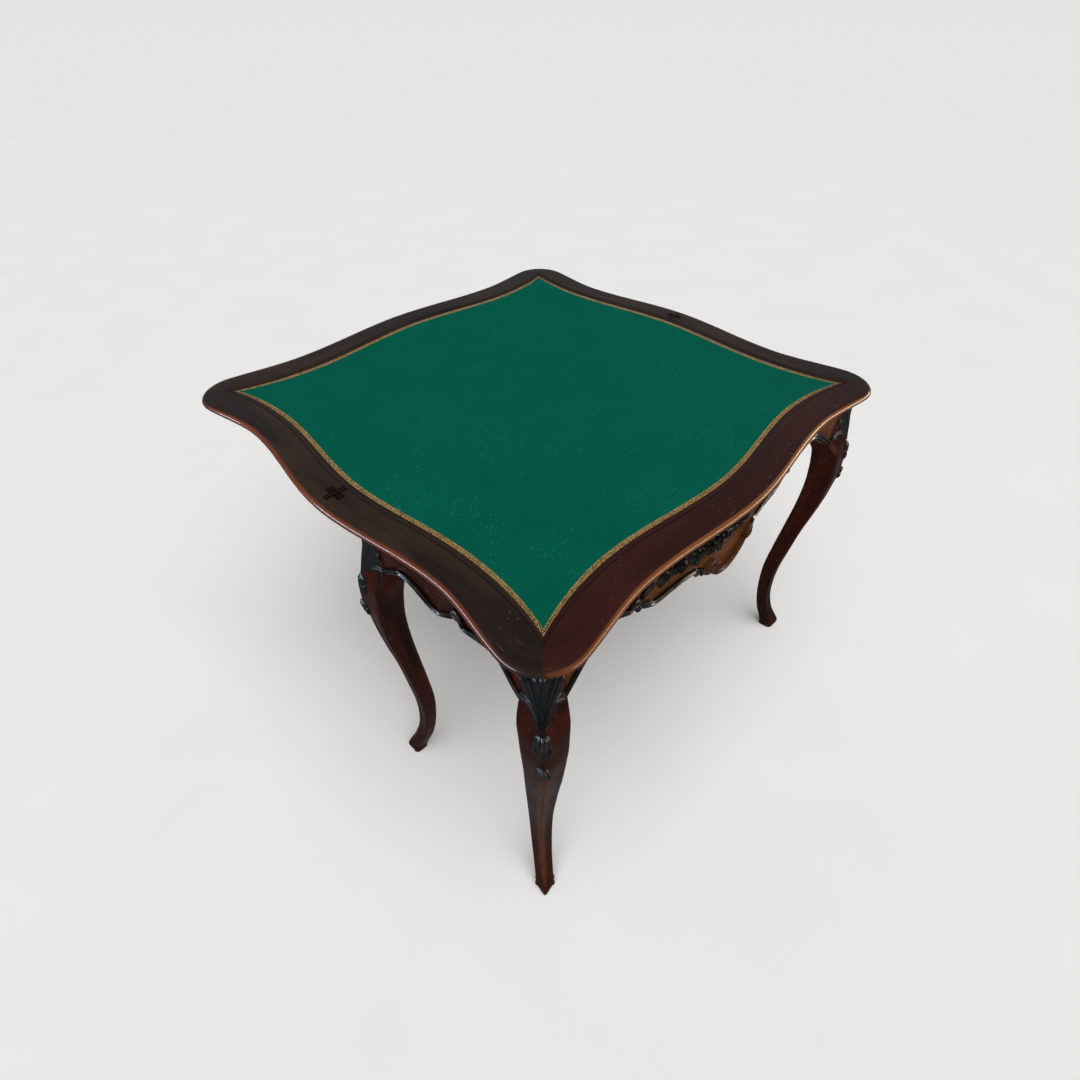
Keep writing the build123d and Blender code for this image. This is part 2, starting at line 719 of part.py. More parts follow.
def fly_rail():
    """Swinging half of the outer back rail, in its closed place."""
    knuckle = outer_rail_thickness / 2
    rail = block(pin_x, post_inner_x, rear_post_front_y, outer_rail_back_y, rail_bottom, gate_top)
    for z0, z1 in finger_levels(False):
        rail -= about_pin(knuckle + knuckle_play, z0 - finger_play / 2, z1 + finger_play / 2)
    for z0, z1 in finger_levels(True):
        rail += about_pin(knuckle, z0 + finger_play / 2, z1 - finger_play / 2)
    return rail - pin_bore()


def swung_open(body):
    """A gate piece turned about the pin from its closed place to its open one."""
    about = Pos(pin_x, pin_y, 0)
    return about * Rot(0, 0, gate_open_deg) * about.inverse() * body


def corner_block(corner_x, corner_y, toward_x, toward_y, walls, post):
    """Triangular glue block in an inner corner of the frame."""
    reach = block_leg + apron_thickness
    corners = [(corner_x, corner_y), (corner_x + toward_x * reach, corner_y),
               (corner_x, corner_y + toward_y * reach)]
    body = prism(make_face(Polyline(*corners, close=True)), leaf_bottom - block_depth, leaf_bottom)
    body -= walls
    if post is not None:
        body -= post
    return body.solids().sort_by(SortBy.VOLUME)[-1]


def leaf_screw(place, play=0.0):
    """Wood screw driven up through a block into the fixed leaf, or its hole with some play."""
    low = leaf_bottom - block_depth
    length = block_depth + screw_bite
    shank = Pos(0, 0, low + length / 2) * Cylinder(screw_radius + play, length)
    head = Cone(screw_head_radius + play, screw_radius + play, screw_head_depth)
    return Pos(place[0], place[1], 0) * (shank + Pos(0, 0, low + screw_head_depth / 2) * head)


def rail_screw(x, play=0.0):
    """Wood screw that fastens the fixed outer rail to the inner back rail."""
    length = inner_rail_thickness + rail_screw_bite
    middle_z = (rail_bottom + leaf_bottom) / 2
    shank = Cylinder(screw_radius + play, length)
    head = Cone(screw_head_radius + play, screw_radius + play, screw_head_depth)
    screw = Pos(0, 0, length / 2) * shank + Pos(0, 0, screw_head_depth / 2) * head
    return Pos(x, inner_rail_front_y, middle_z) * Rot(-90, 0, 0) * screw


def all_of(bodies):
    """Several separate solids as one group."""
    solids = []
    for body in bodies:
        solids += body.solids()
    return Compound(solids)


def build_frame(nodes):
    """Legs, aprons, mouldings and carvings of the fixed frame."""
    toe = front_toe()
    leg = leg_at(toe, front_post(0), -front_post_inner_y)
    acanthus, husks = knee_carvings(toe, front_post(knee_relief), leg)
    for name, body in (("leg", leg), ("acanthus", acanthus), ("husks", husks)):
        nodes["front_right_" + name] = mirror(body, about=Plane.XZ)
        nodes["front_left_" + name] = Rot(0, 0, 180) * body
    toe = rear_toe()
    leg = leg_at(toe, rear_post(0), rear_post_front_y)
    acanthus, husks = knee_carvings(toe, rear_post(knee_relief), leg)
    for name, body in (("leg", leg), ("acanthus", acanthus), ("husks", husks)):
        nodes["rear_left_" + name] = mirror(body, about=Plane.YZ)
        nodes["gate_" + name] = swung_open(body)
    nodes["front_apron"] = front_apron()
    nodes["left_apron"] = left_apron()
    open_end = block(0, side_wide, rear_post_front_y - rail_play, side_wide, 0, top_height)
    nodes["right_apron"] = mirror(left_apron(), about=Plane.YZ) - open_end
    moulding = front_moulding()
    nodes["front_moulding"] = moulding
    nodes["left_moulding"] = left_moulding()
    nodes["right_moulding"] = mirror(left_moulding(), about=Plane.YZ) - open_end
    rose, flowers, leaves = garland(moulding)
    nodes["garland_rose"] = rose
    nodes["garland_flowers"] = flowers
    nodes["garland_leaves"] = leaves


def screw_places(bearer_front_y):
    """Plan places of the screws that hold the fixed leaf."""
    places = []
    half_block = block_leg / 4
    for sx in (-1, 1):
        places.append((sx * (post_inner_x - half_block), front_post_inner_y + half_block))
        places.append((sx * (post_inner_x - half_block / 2), inner_rail_front_y - 1.5 * half_block))
    for share in bearer_screw_y_shares:
        places.append((0, bearer_front_y + (inner_rail_front_y - bearer_front_y) * share))
    return places


def build_inside(nodes):
    """Back rails, gate, glue blocks, cross bearer and screws under the fixed leaf."""
    walls = apron_walls()
    rail_screws = [(post_inner_x + pin_x) * share - post_inner_x for share in rail_screw_x_shares]
    screws = [rail_screw(x) for x in rail_screws]
    holes = all_of([rail_screw(x, screw_play) for x in rail_screws])
    nodes["inner_back_rail"] = inner_back_rail(walls) - holes
    nodes["fixed_back_rail"] = fixed_back_rail() - holes
    nodes["rail_screws"] = all_of(screws)
    nodes["fly_rail"] = swung_open(fly_rail())
    nodes["gate_pin"] = about_pin(gate_pin_radius, rail_bottom, leaf_bottom)
    bearer_front_y = -(front_rise - frame_inset - apron_thickness)
    bearer = block(-bearer_width / 2, bearer_width / 2, -side_wide, inner_rail_front_y,
                   leaf_bottom - block_depth, leaf_bottom)
    bearer = (bearer - walls).solids().sort_by(Axis.Y)[-1]
    places = screw_places(bearer_front_y)
    leaf_holes = all_of([leaf_screw(place, screw_play) for place in places])
    nodes["cross_bearer"] = bearer - leaf_holes
    blocks = []
    for sx in (-1, 1):
        post = nodes["front_left_leg"] if sx < 0 else nodes["front_right_leg"]
        front_corner_y = front_post_inner_y - post_depth / 2
        blocks.append(corner_block(sx * (post_inner_x + post_width / 2), front_corner_y, -sx, 1, walls, post))
        blocks.append(corner_block(sx * (post_inner_x + post_width / 2), inner_rail_front_y, -sx, -1, walls, None))
    nodes["corner_blocks"] = all_of([body - leaf_holes for body in blocks])
    nodes["leaf_screws"] = all_of([leaf_screw(place) for place in places])
    return leaf_holes


def build_leaves(nodes, leaf_holes):
    """Panels, rims, baize, leather bands and hinges of both leaves."""
    ring = rim_ring()
    panel = prism(inner_plan(0), leaf_bottom, panel_top)
    cloth = prism(inner_plan(band_width), panel_top, baize_top)
    band = prism(inner_plan(0), panel_top, panel_top + band_thickness)
    band -= prism(inner_plan(band_width), panel_top - cut_margin, top_height)
    for plan_side, leaf, long_side in ((-1, "near", "front"), (1, "far", "back")):
        region = leaf_region(plan_side)
        wedge = front_wedge(plan_side)
        nodes[leaf + "_panel"] = (panel & region) - leaf_holes if plan_side < 0 else panel & region
        nodes[leaf + "_baize"] = cloth & region
        nodes[leaf + "_leather_band"] = band & region
        nodes[leaf + "_rim_" + long_side] = ring & wedge
        for side, sx, x0, x1 in (("left", -1, -side_wide, 0), ("right", 1, 0, side_wide)):
            piece = (ring & leaf_region(plan_side, x0, x1)) - wedge
            nodes[leaf + "_rim_" + side] = piece - hinge_recess(sx * hinge_centre_x, plan_side > 0)
            nodes[side + "_hinge_" + leaf + "_plate"] = hinge_plate(sx * hinge_centre_x, plan_side > 0)
        screws = [Pos(sx * hinge_centre_x, 0, 0) * hinge_screw_solid(plan_side, 0) for sx in (-1, 1)]
        nodes[leaf + "_hinge_screws"] = all_of(screws)
    nodes["hinge_pins"] = all_of([hinge_pin(sx * hinge_centre_x) for sx in (-1, 1)])


def build_table():
    """Every piece of the table by its name."""
    nodes = {}
    build_frame(nodes)
    leaf_holes = build_inside(nodes)
    build_leaves(nodes, leaf_holes)
    return nodes


for node_name, node_body in build_table().items():
    export_step(node_body, "parts/" + node_name + ".step")
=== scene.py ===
import json
from math import cos, hypot, pi, radians, sin, tau

import bmesh
import bpy
import numpy as np
from bpy.props import FloatProperty, FloatVectorProperty, IntProperty, PointerProperty
from bpy.types import Operator, Panel, PropertyGroup
from mathutils import Matrix, Vector
from mathutils.bvhtree import BVHTree


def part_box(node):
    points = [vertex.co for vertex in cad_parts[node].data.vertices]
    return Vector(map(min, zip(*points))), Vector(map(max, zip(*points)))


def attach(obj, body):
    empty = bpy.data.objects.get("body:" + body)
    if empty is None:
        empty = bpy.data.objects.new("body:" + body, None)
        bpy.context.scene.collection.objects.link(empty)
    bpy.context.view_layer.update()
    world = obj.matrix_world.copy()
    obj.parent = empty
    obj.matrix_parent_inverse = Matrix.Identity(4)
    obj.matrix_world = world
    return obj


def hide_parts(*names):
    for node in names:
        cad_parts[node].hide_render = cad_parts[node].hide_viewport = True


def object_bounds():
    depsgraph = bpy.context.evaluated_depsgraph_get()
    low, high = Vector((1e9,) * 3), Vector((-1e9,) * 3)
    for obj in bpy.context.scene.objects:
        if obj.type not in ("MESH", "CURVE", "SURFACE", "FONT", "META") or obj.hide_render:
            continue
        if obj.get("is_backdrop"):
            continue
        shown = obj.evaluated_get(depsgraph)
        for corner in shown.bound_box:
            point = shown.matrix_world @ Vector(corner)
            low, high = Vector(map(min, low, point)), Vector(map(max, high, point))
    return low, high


bl_info = {
    "name": "Serpentine card table",
    "version": (1, 0, 0),
    "blender": (4, 5, 0),
    "location": "3D View > Sidebar > Card Table",
    "description": "Finishes a folding card table with moulded rims, baize, gilt leather and ebonised carving",
    "category": "Object",
}

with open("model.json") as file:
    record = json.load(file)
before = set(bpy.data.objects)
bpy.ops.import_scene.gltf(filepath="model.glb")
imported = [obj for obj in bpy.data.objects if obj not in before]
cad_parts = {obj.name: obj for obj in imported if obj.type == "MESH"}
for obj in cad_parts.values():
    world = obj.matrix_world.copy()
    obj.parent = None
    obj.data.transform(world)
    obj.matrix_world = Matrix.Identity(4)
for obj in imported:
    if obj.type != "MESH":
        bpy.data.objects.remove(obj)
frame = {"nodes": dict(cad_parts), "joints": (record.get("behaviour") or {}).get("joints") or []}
cad_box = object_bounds()

# The scene is in metres, and MM is one millimetre in it
MM = 0.001
CORNERS = ("front_left", "front_right", "rear_left", "gate")


def length(name, millimetres, description):
    """A size that the user may change, given in millimetres and kept in metres."""
    return FloatProperty(name=name, description=description, default=millimetres * MM, unit="LENGTH", precision=4)


def angle(name, degrees, description):
    """An angle that the user may change."""
    return FloatProperty(name=name, description=description, default=radians(degrees), subtype="ANGLE")


def tint(name, red, green, blue, description):
    """A colour, given as the eight-bit display values that a colour picker shows."""
    linear = [((value / 255 + 0.055) / 1.055) ** 2.4 if value > 10 else value / 255 / 12.92
              for value in (red, green, blue)]
    return FloatVectorProperty(name=name, description=description, size=3, default=linear, subtype="COLOR",
                               min=0.0, max=1.0)


class CardTableTop(PropertyGroup):
    """Plan and heights of the open top."""
    height: FloatProperty(name="Height", description="Floor to the rim's flat", unit="LENGTH",
                          default=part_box("near_rim_front")[1].z)
    thickness: length("Thickness", 24.0, "Thickness of a leaf")
    front_rise: length("Front rise", 457.5, "Seam to the swell in the middle of the front")
    front_dip: length("Front dip", 435.0, "Seam to the hollows of the front")
    front_dip_at: length("Front hollow", 252.0, "Middle of the front to its hollows")
    side_rise: length("Side rise", 468.0, "Middle of the table to the swell of a side")
    side_dip: length("Side dip", 442.0, "Middle of the table to the hollows of a side")
    side_dip_at: length("Side hollow", 243.0, "Seam to the hollows of a side")
    corner_x: length("Corner X", 463.0, "Middle of the table to the corner's reach along the front")
    corner_y: length("Corner Y", 452.5, "Seam to the corner's reach along the side")
    corner_radius: length("Corner radius", 66.0, "Radius of the rounded corners")
    corner_flare: angle("Corner flare", 7.0, "How far the edge turns outward at a corner")
    field_front_rise: length("Field front rise", 395.5, "Seam to the gilt band in the middle of the front")
    field_front_dip: length("Field front dip", 371.0, "Seam to the gilt band at the front's hollows")
    field_side_rise: length("Field side rise", 405.0, "Middle of the table to the gilt band at the seam")
    field_side_dip: length("Field side dip", 383.0, "Middle of the table to the gilt band at a side's hollows")
    field_corner_x: length("Field corner X", 405.0, "Middle of the table to the field's pointed corner")
    field_corner_y: length("Field corner Y", 397.0, "Seam to the field's pointed corner")
    field_flare: angle("Field flare", 19.5, "How far the gilt band turns outward at a corner")
    seam: length("Seam", 0.2, "Half of the gap between the two leaves")
    panel_drop: length("Panel drop", 4.0, "Rim's flat down to the panel under the baize")
    band_width: length("Band width", 7.5, "Width of the gilt leather band")
    band_thickness: length("Band thickness", 0.8, "Thickness of the gilt leather band")
    baize_thickness: length("Baize thickness", 1.0, "Thickness of the baize")
    stations: IntProperty(name="Stations", description="Sections along one side of the rim", default=120, min=8)


class CardTableFrame(PropertyGroup):
    """Aprons, mouldings and posts under the top."""
    inset: length("Inset", 28.0, "Edge of the top to the aprons' face")
    corner_radius: length("Frame corner radius", 12.0, "Radius of the posts' outer corners")
    post_width: length("Post width", 50.0, "Width of a post along the front")
    post_depth: length("Post depth", 44.0, "Width of a post along the side")
    back_face: length("Back face", -49.0, "Seam to the back of the frame")
    open_joint: length("Open joint", 3.2, "Gap that has opened beside the rear left post")
    rear_draw: length("Rear draw", 4.0, "How far the rear posts' corners are drawn in")
    front_drop: length("Front drop", 172.0, "Rim's flat down to the tip of the front apron")
    side_drop: length("Side drop", 126.0, "Rim's flat down to the tip of a side apron")
    moulding_width: length("Moulding width", 11.0, "Width of the ebonised moulding")
    moulding_relief: length("Moulding relief", 6.0, "How far the moulding stands proud")
    lobe_width: length("Lobe moulding width", 15.0, "Width of the moulding under the middle of the front")
    lobe_volute: length("Lobe volute radius", 12.5, "Radius of that moulding's scroll ends")
    volute_radius: length("Volute radius", 9.0, "Radius of the moulding's scroll ends")


class CardTableLegs(PropertyGroup):
    """Cabriole legs and their knees."""
    throw_x: length("Toe throw X", 24.0, "Post's corner to the toe along the front")
    throw_y: length("Toe throw Y", 32.0, "Post's corner to the toe along the side")
    forward: length("Forward", 5.0, "How far the front legs stand forward of their posts")
    levels: IntProperty(name="Levels", description="Sections up one leg", default=190, min=20)
    around: IntProperty(name="Around", description="Points round one section, a multiple of eight", default=80,
                        min=16)
    toe_scroll: length("Toe scroll", 5.5, "Radius of the two small scrolls at a toe")
    toe_reach: length("Toe reach", 6.0, "How far the front toes reach out")
    bead_relief: length("Bead relief", 0.7, "How far the fine beads down a leg stand proud")
    bead_width: length("Bead width", 2.4, "Width of the fine beads down a leg")
    acanthus_length: length("Acanthus length", 102.0, "Height of the knee's acanthus leaf")
    acanthus_relief: length("Acanthus relief", 5.5, "How far the acanthus leaf stands proud")
    husk_width: length("Husk width", 25.0, "Width of the first husk")
    husk_relief: length("Husk relief", 5.5, "How far the husks stand proud")


class CardTableGarland(PropertyGroup):
    """Carved garland on the front apron."""
    rose_radius: length("Rose radius", 26.0, "Radius of the large rose")
    rose_relief: length("Rose relief", 18.0, "How far the rose stands proud")
    flower_radius: length("Flower radius", 18.5, "Radius of a full-sized flower")
    flower_relief: length("Flower relief", 13.0, "How far the flowers stand proud")
    leaf_length: length("Leaf length", 36.0, "Length of a full-sized leaf")
    leaf_width: length("Leaf width", 23.0, "Width of a full-sized leaf")
    leaf_relief: length("Leaf relief", 8.0, "How far the leaves stand proud")
    sprays: IntProperty(name="Sprays", description="Leaf sprays along the garland", default=17, min=2)
    seed: IntProperty(name="Seed", description="Seed of the small differences between leaves", default=7)


class CardTableTooling(PropertyGroup):
    """Stamped marks in the gilt leather band, and the heads of the screws."""
    pitch: length("Pitch", 3.3, "Distance from one stamped mark to the next")
    mark_length: length("Mark length", 2.4, "Length of a stamped mark")
    mark_width: length("Mark width", 1.7, "Width of a stamped mark")
    screw_slot: length("Screw slot", 0.7, "Width of a screw's slot")
    hinge_head: length("Hinge screw head", 5.6, "Diameter of a hinge screw's head")
    frame_head: length("Frame screw head", 9.0, "Diameter of the head of a screw under the top")


class CardTableFinish(PropertyGroup):
    """Colours of the finishes."""
    rim: tint("Side rim", 53, 37, 29, "Polished flat of the rims along the sides")
    rim_dark: tint("Side rim dark", 24, 18, 16, "Dark figure in the side rims")
    edge: tint("Side edge", 112, 52, 22, "Wood at the rubbed edge of the side rims")
    front_rim: tint("Front rim", 57, 23, 17, "Polished flat of the rim along the front")
    front_rim_dark: tint("Front rim dark", 42, 15, 11, "Dark figure in the front rim")
    front_edge: tint("Front edge", 124, 72, 34, "Wood at the rubbed edge of the front rim")
    apron: tint("Apron", 112, 62, 20, "Polished wood of the front apron")
    apron_dark: tint("Apron dark", 74, 36, 10, "Dark figure in the front apron")
    side_apron: tint("Side apron", 100, 34, 13, "Polished wood of the side aprons")
    side_apron_dark: tint("Side apron dark", 54, 20, 10, "Dark figure in the side aprons")
    leg: tint("Leg", 62, 21, 8, "Polished wood of the legs")
    leg_dark: tint("Leg dark", 32, 11, 6, "Dark figure in the legs' wood")
    leg_edge: tint("Leg edge", 86, 50, 26, "Wood at the rubbed edges of the legs")
    lobe: tint("Lobe moulding", 70, 44, 25, "Rubbed moulding under the middle of the front")
    ebony: tint("Ebony", 9, 8, 9, "Ebonised carving")
    ebony_worn: tint("Worn ebony", 78, 66, 60, "Ebonised wood where it is rubbed")
    timber: tint("Timber", 146, 108, 72, "Secondary timber inside")
    timber_dark: tint("Timber dark", 96, 66, 42, "Growth rings of the secondary timber")
    baize: tint("Baize", 1, 90, 74, "Baize")
    lint: tint("Lint", 110, 160, 140, "Lint on the baize")
    gilt: tint("Gilt", 216, 176, 108, "Gilding of the leather band")
    leather: tint("Leather", 30, 19, 10, "Leather where the gilding is stamped away")
    brass: tint("Brass", 118, 92, 60, "Brass of the hinges' screws")
    patina: tint("Patina", 62, 48, 38, "Darkened brass of the hinges")
    steel: tint("Steel", 120, 116, 110, "Steel of the pins and screws")


class CardTableStage(PropertyGroup):
    """Floor, lights and camera."""
    camera_place: FloatVectorProperty(name="Camera place", description="Where the photograph was taken from", size=3,
                                      default=(-0.689, -0.6667, 1.2646), subtype="TRANSLATION", unit="LENGTH")
    azimuth: angle("Azimuth", -45.91, "The camera's turn about the vertical")
    elevation: angle("Elevation", 44.30, "How far the camera looks down")
    lens: FloatProperty(name="Lens", description="Focal length on a sensor 36 millimetres wide", default=18.98)
    sensor: FloatProperty(name="Sensor", description="Width of the sensor in millimetres", default=36.0)
    day_strength: FloatProperty(name="Day strength", description="Strength of the broad light from above",
                                default=2.7)
    day_spread: angle("Day spread", 70.0, "How broad the light from above is")
    day_from: FloatVectorProperty(name="Day from", description="Direction that the broad light comes from", size=3,
                                  default=(-0.30, -0.42, 1.0))
    sky_strength: FloatProperty(name="Sky strength", description="Strength of the light from all round", default=0.15)
    floor_size: FloatProperty(name="Floor", description="Side of the floor", default=700.0, unit="LENGTH")


def table_settings():
    """The sizes of the top, of the frame and of the legs."""
    scene = bpy.context.scene
    return scene.card_table_top, scene.card_table_frame, scene.card_table_legs


# Lines of the plan, in (along, outward) for one side of the table

def hermite(t, first, last, leave, arrive):
    """A place on the cubic from first to last that leaves and arrives with given slopes."""
    return ((2 * t**3 - 3 * t**2 + 1) * first + (t**3 - 2 * t**2 + t) * leave
            + (3 * t**2 - 2 * t**3) * last + (t**3 - t**2) * arrive)


def wave_line(rise, dip, dip_at, end_at, end, flare, steps=24):
    """A serpentine line through its swell, its hollows and its ends."""
    points = [Vector(point) for point in ((-end_at, end), (-dip_at, dip), (0.0, rise), (dip_at, dip), (end_at, end))]
    level = Vector((1.0, 0.0))
    tangents = [Vector((cos(flare), -sin(flare))), level, level, level, Vector((cos(flare), sin(flare)))]
    line = []
    for index in range(4):
        first, last = points[index:index + 2]
        reach = (last - first).length
        line += [hermite(step / steps, first, last, reach * tangents[index], reach * tangents[index + 1])
                 for step in range(steps)]
    line.append(points[-1])
    return np.array([tuple(point) for point in line])


def edge_line(top, side, inset, rounding=None, arc_steps=14):
    """Outer line of a side from mitre to mitre, with half of each rounded corner."""
    if side in ("front", "back"):
        rise, dip, dip_at, reach_along, reach_out = (top.front_rise, top.front_dip, top.front_dip_at, top.corner_x,
                                                     top.corner_y)
    else:
        rise, dip, dip_at, reach_along, reach_out = (top.side_rise, top.side_dip, top.side_dip_at, top.corner_y,
                                                     top.corner_x)
    rounding = top.corner_radius if rounding is None else rounding
    radius, flare = rounding - inset, top.corner_flare
    along, out = reach_along - rounding, reach_out - rounding
    line = wave_line(rise - inset, dip - inset, dip_at, along - radius * sin(flare), out + radius * cos(flare), flare)
    turns = np.linspace(pi / 2 + flare, pi / 4, arc_steps + 1)[1:]
    arc = np.column_stack((along + radius * np.cos(turns), out + radius * np.sin(turns)))
    return np.vstack((arc[::-1] * (-1, 1), line, arc))


def apron_line(side):
    """Line of an apron's face, which runs on round the posts' own smaller corners."""
    top, base = table_settings()[:2]
    return edge_line(top, side, base.inset, base.inset + base.corner_radius)


def field_line(top, side, inset):
    """Line of the playing field's edge on a side, from pointed corner to pointed corner."""
    if side in ("front", "back"):
        sizes = top.field_front_rise, top.field_front_dip, top.front_dip_at, top.field_corner_x, top.field_corner_y
    else:
        sizes = top.field_side_rise, top.field_side_dip, top.side_dip_at, top.field_corner_y, top.field_corner_x
    rise, dip, dip_at, end_at, end = sizes
    return wave_line(rise - inset, dip - inset, dip_at, end_at - inset, end - inset, top.field_flare)


def distances(points):
    """How far each point of a line lies along it."""
    return np.concatenate(([0.0], np.cumsum(np.linalg.norm(np.diff(points, axis=0), axis=1))))


def evenly(line, count):
    """A line with its points spaced evenly."""
    line = np.asarray(line, float)
    run = distances(line)
    return np.column_stack([np.interp(np.linspace(0.0, run[-1], count), run, axis) for axis in line.T])


def half_of(line, positive, seam):
    """The part of a side's line on one side of the seam, ending exactly on it."""
    kept = line[line[:, 0] > seam] if positive else line[line[:, 0] < -seam][::-1]
    seam_at = seam if positive else -seam
    order = np.argsort(line[:, 0])
    outward = np.interp(seam_at, line[order, 0], line[order, 1])
    return np.vstack(([seam_at, outward], kept))


def on_side(side, along, outward, height):
    """A point of a side's own plan placed on the table."""
    return {"front": (along, -outward, height), "back": (along, outward, height),
            "left": (-outward, along, height), "right": (outward, along, height)}[side]


# Meshes

def add_object(name, data):
    """A new object in the scene, at the origin."""
    made = bpy.data.objects.new(name, data)
    bpy.context.scene.collection.objects.link(made)
    return made


def object_from(shell, name):
    """Turns a bmesh into an object, and frees the bmesh."""
    mesh = bpy.data.meshes.new(name)
    shell.to_mesh(mesh)
    shell.free()
    return add_object(name, mesh)


def plain_mesh(piece):
    """The mesh that an object's modifiers make; the modifiers are taken away."""
    evaluated = piece.evaluated_get(bpy.context.evaluated_depsgraph_get())
    mesh = bpy.data.meshes.new_from_object(evaluated)
    piece.modifiers.clear()
    return mesh


def new_piece(name, verts, faces, material, uvs=None, wear=None, sharp=40.0, recalculate=True):
    """A finished mesh object at the origin. Vertices that lie together are merged first."""
    mesh = bpy.data.meshes.new(name)
    mesh.from_pydata([tuple(vert) for vert in verts], [], [tuple(face) for face in faces])
    if uvs is not None:
        layer = mesh.uv_layers.new(name="UVMap")
        for loop in mesh.loops:
            layer.data[loop.index].uv = uvs[loop.vertex_index]
    if wear is not None:
        attribute = mesh.attributes.new("wear", "FLOAT", "POINT")
        attribute.data.foreach_set("value", np.asarray(wear, np.float32))
    if recalculate:
        shell = bmesh.new()
        shell.from_mesh(mesh)
        bmesh.ops.remove_doubles(shell, verts=shell.verts, dist=0.002 * MM)
        bmesh.ops.recalc_face_normals(shell, faces=shell.faces)
        shell.to_mesh(mesh)
        shell.free()
    mesh.shade_smooth()
    mesh.set_sharp_from_angle(angle=radians(sharp))
    mesh.materials.append(material)
    return add_object(name, mesh)


def settle(piece, body, slot, *nodes):
    """Puts a piece on the body that it rides on and hides the CAD nodes that it stands for. The slot is not used."""
    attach(piece, body)
    if nodes:
        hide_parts(*nodes)
    return piece


def loft_rows(rows):
    """Vertices and faces of a skin through closed rows of points, with its two ends closed."""
    rows = np.asarray(rows, float)
    count, around = rows.shape[:2]
    last = (count - 1) * around
    faces = [(row + index, row + (index + 1) % around, row + around + (index + 1) % around, row + around + index)
             for row in range(0, last, around) for index in range(around)]
    faces.append(tuple(range(around)))
    faces.append(tuple(last + index for index in reversed(range(around))))
    return rows.reshape(-1, 3), faces


SINK = 0.6 * MM  # how far a carved stroke's edges lie in the wood


class Carving:
    """Vertices and faces of many carved strokes, gathered into one mesh."""

    def __init__(self):
        self.verts = []
        self.faces = []
        self.wear = []

    def add(self, verts, faces, wear):
        start = len(self.verts)
        self.verts += [tuple(vert) for vert in verts]
        self.faces += [tuple(start + index for index in face) for face in faces]
        self.wear += list(wear)

    def stroke(self, place, full, path, half_width, relief, profile, across=12, rubbed=None):
        """Carves along a path in the plane of a face, with place giving a point from (s, z, height).

        Half_width and relief vary along the path, and profile varies across it. Each row starts and ends sunk a
        little into the wood, so the carving closes on what carries it. Full is the relief that is most rubbed.
        """
        path = np.asarray(path, float)
        spots = [(-1.0, None)] + [(-1 + 2 * step / across, step) for step in range(across + 1)] + [(1.0, None)]
        points, wear = [], []
        for middle, normal, along in zip(path, normals_of(path), np.linspace(0.0, 1.0, len(path))):
            width, height = half_width(along), relief(along)
            for t, step in spots:
                up = -SINK if step is None else height * profile(t, along)
                points.append(place(*(middle + normal * width * t), up))
                wear.append(min(max(up / full, 0.0), 1.0) if rubbed is None else rubbed)
        self.add(*loft_rows(np.reshape(points, (len(path), len(spots), 3))), wear)

    def finished(self, name, finish, body, slot, *nodes, sharp=50.0):
        """The carving as a piece, settled on its body."""
        piece = new_piece(name, self.verts, self.faces, finish_named(finish), wear=self.wear, sharp=sharp)
        return settle(piece, body, slot, *nodes)


def smooth_path(points, steps):
    """A smooth line through a few points in the plane of a face."""
    points = [np.asarray(point, float) for point in points]
    padded = [2 * points[0] - points[1]] + points + [2 * points[-1] - points[-2]]
    line = []
    for before, first, last, after in zip(padded, padded[1:], padded[2:], padded[3:]):
        line += [hermite(step / steps, first, last, (last - before) / 2, (after - first) / 2)
                 for step in range(steps)]
    line.append(points[-1])
    return np.array(line)


def normals_of(path):
    """Left-hand unit normals of a line in the plane."""
    slope = np.gradient(path, axis=0)
    slope /= np.maximum(np.hypot(slope[:, 0], slope[:, 1]), 1e-12)[:, None]
    return np.column_stack((-slope[:, 1], slope[:, 0]))


def dome(t, along):
    """A plain rounded section."""
    return max(1 - t * t, 0.0) ** 0.5


def channel(t, along):
    """Two beads with a hollow between them."""
    rounded = max(1 - abs(t) ** 6, 0.0) ** 0.5
    hollow = 0.62 * np.exp(-(t / 0.42) ** 2)
    return rounded * (1 - hollow)


def ribbed(t, along):
    """A leaf's section: a fine raised rib, hollows beside it and rounded edges."""
    rounded = max(1 - abs(t) ** 4, 0.0) ** 0.5
    rib = 0.35 * np.exp(-(t / 0.10) ** 2)
    return rounded * (0.52 + 0.40 * abs(t)) + rib


def fluted(t, along):
    """A section of reeds side by side on a dome."""
    reeds = 0.12 * cos(5 * pi * t)
    return max(1 - t * t, 0.0) ** 0.5 * (0.88 + reeds)


def tapered(width, start=0.35, belly=0.5, end=0.05):
    """Half widths along a leaf: narrow, then full, then pointed."""
    def at(along):
        swell = sin(pi * min(along / (2 * belly), 1.0)) if along < belly else cos(
            pi / 2 * (along - belly) / (1 - belly))
        least = start if along < belly else end
        return width * (least + (1 - least) * max(swell, 0.0))
    return at


# Materials

def feed(tree, socket, value):
    """Links a socket to an output, or sets it to a number, a vector or a colour."""
    if isinstance(value, bpy.types.NodeSocket):
        tree.links.new(value, socket)
    elif isinstance(value, (int, float)):
        socket.default_value = value
    else:
        socket.default_value = (*value, *[1.0] * (len(socket.default_value) - len(value)))


def grow(tree, kind, inputs, **settings):
    """A new node in a tree, with its settings made and its inputs fed."""
    made = tree.nodes.new(kind)
    for name, value in settings.items():
        setattr(made, name, value)
    for name, value in inputs.items():
        feed(tree, made.inputs[name], value)
    return made


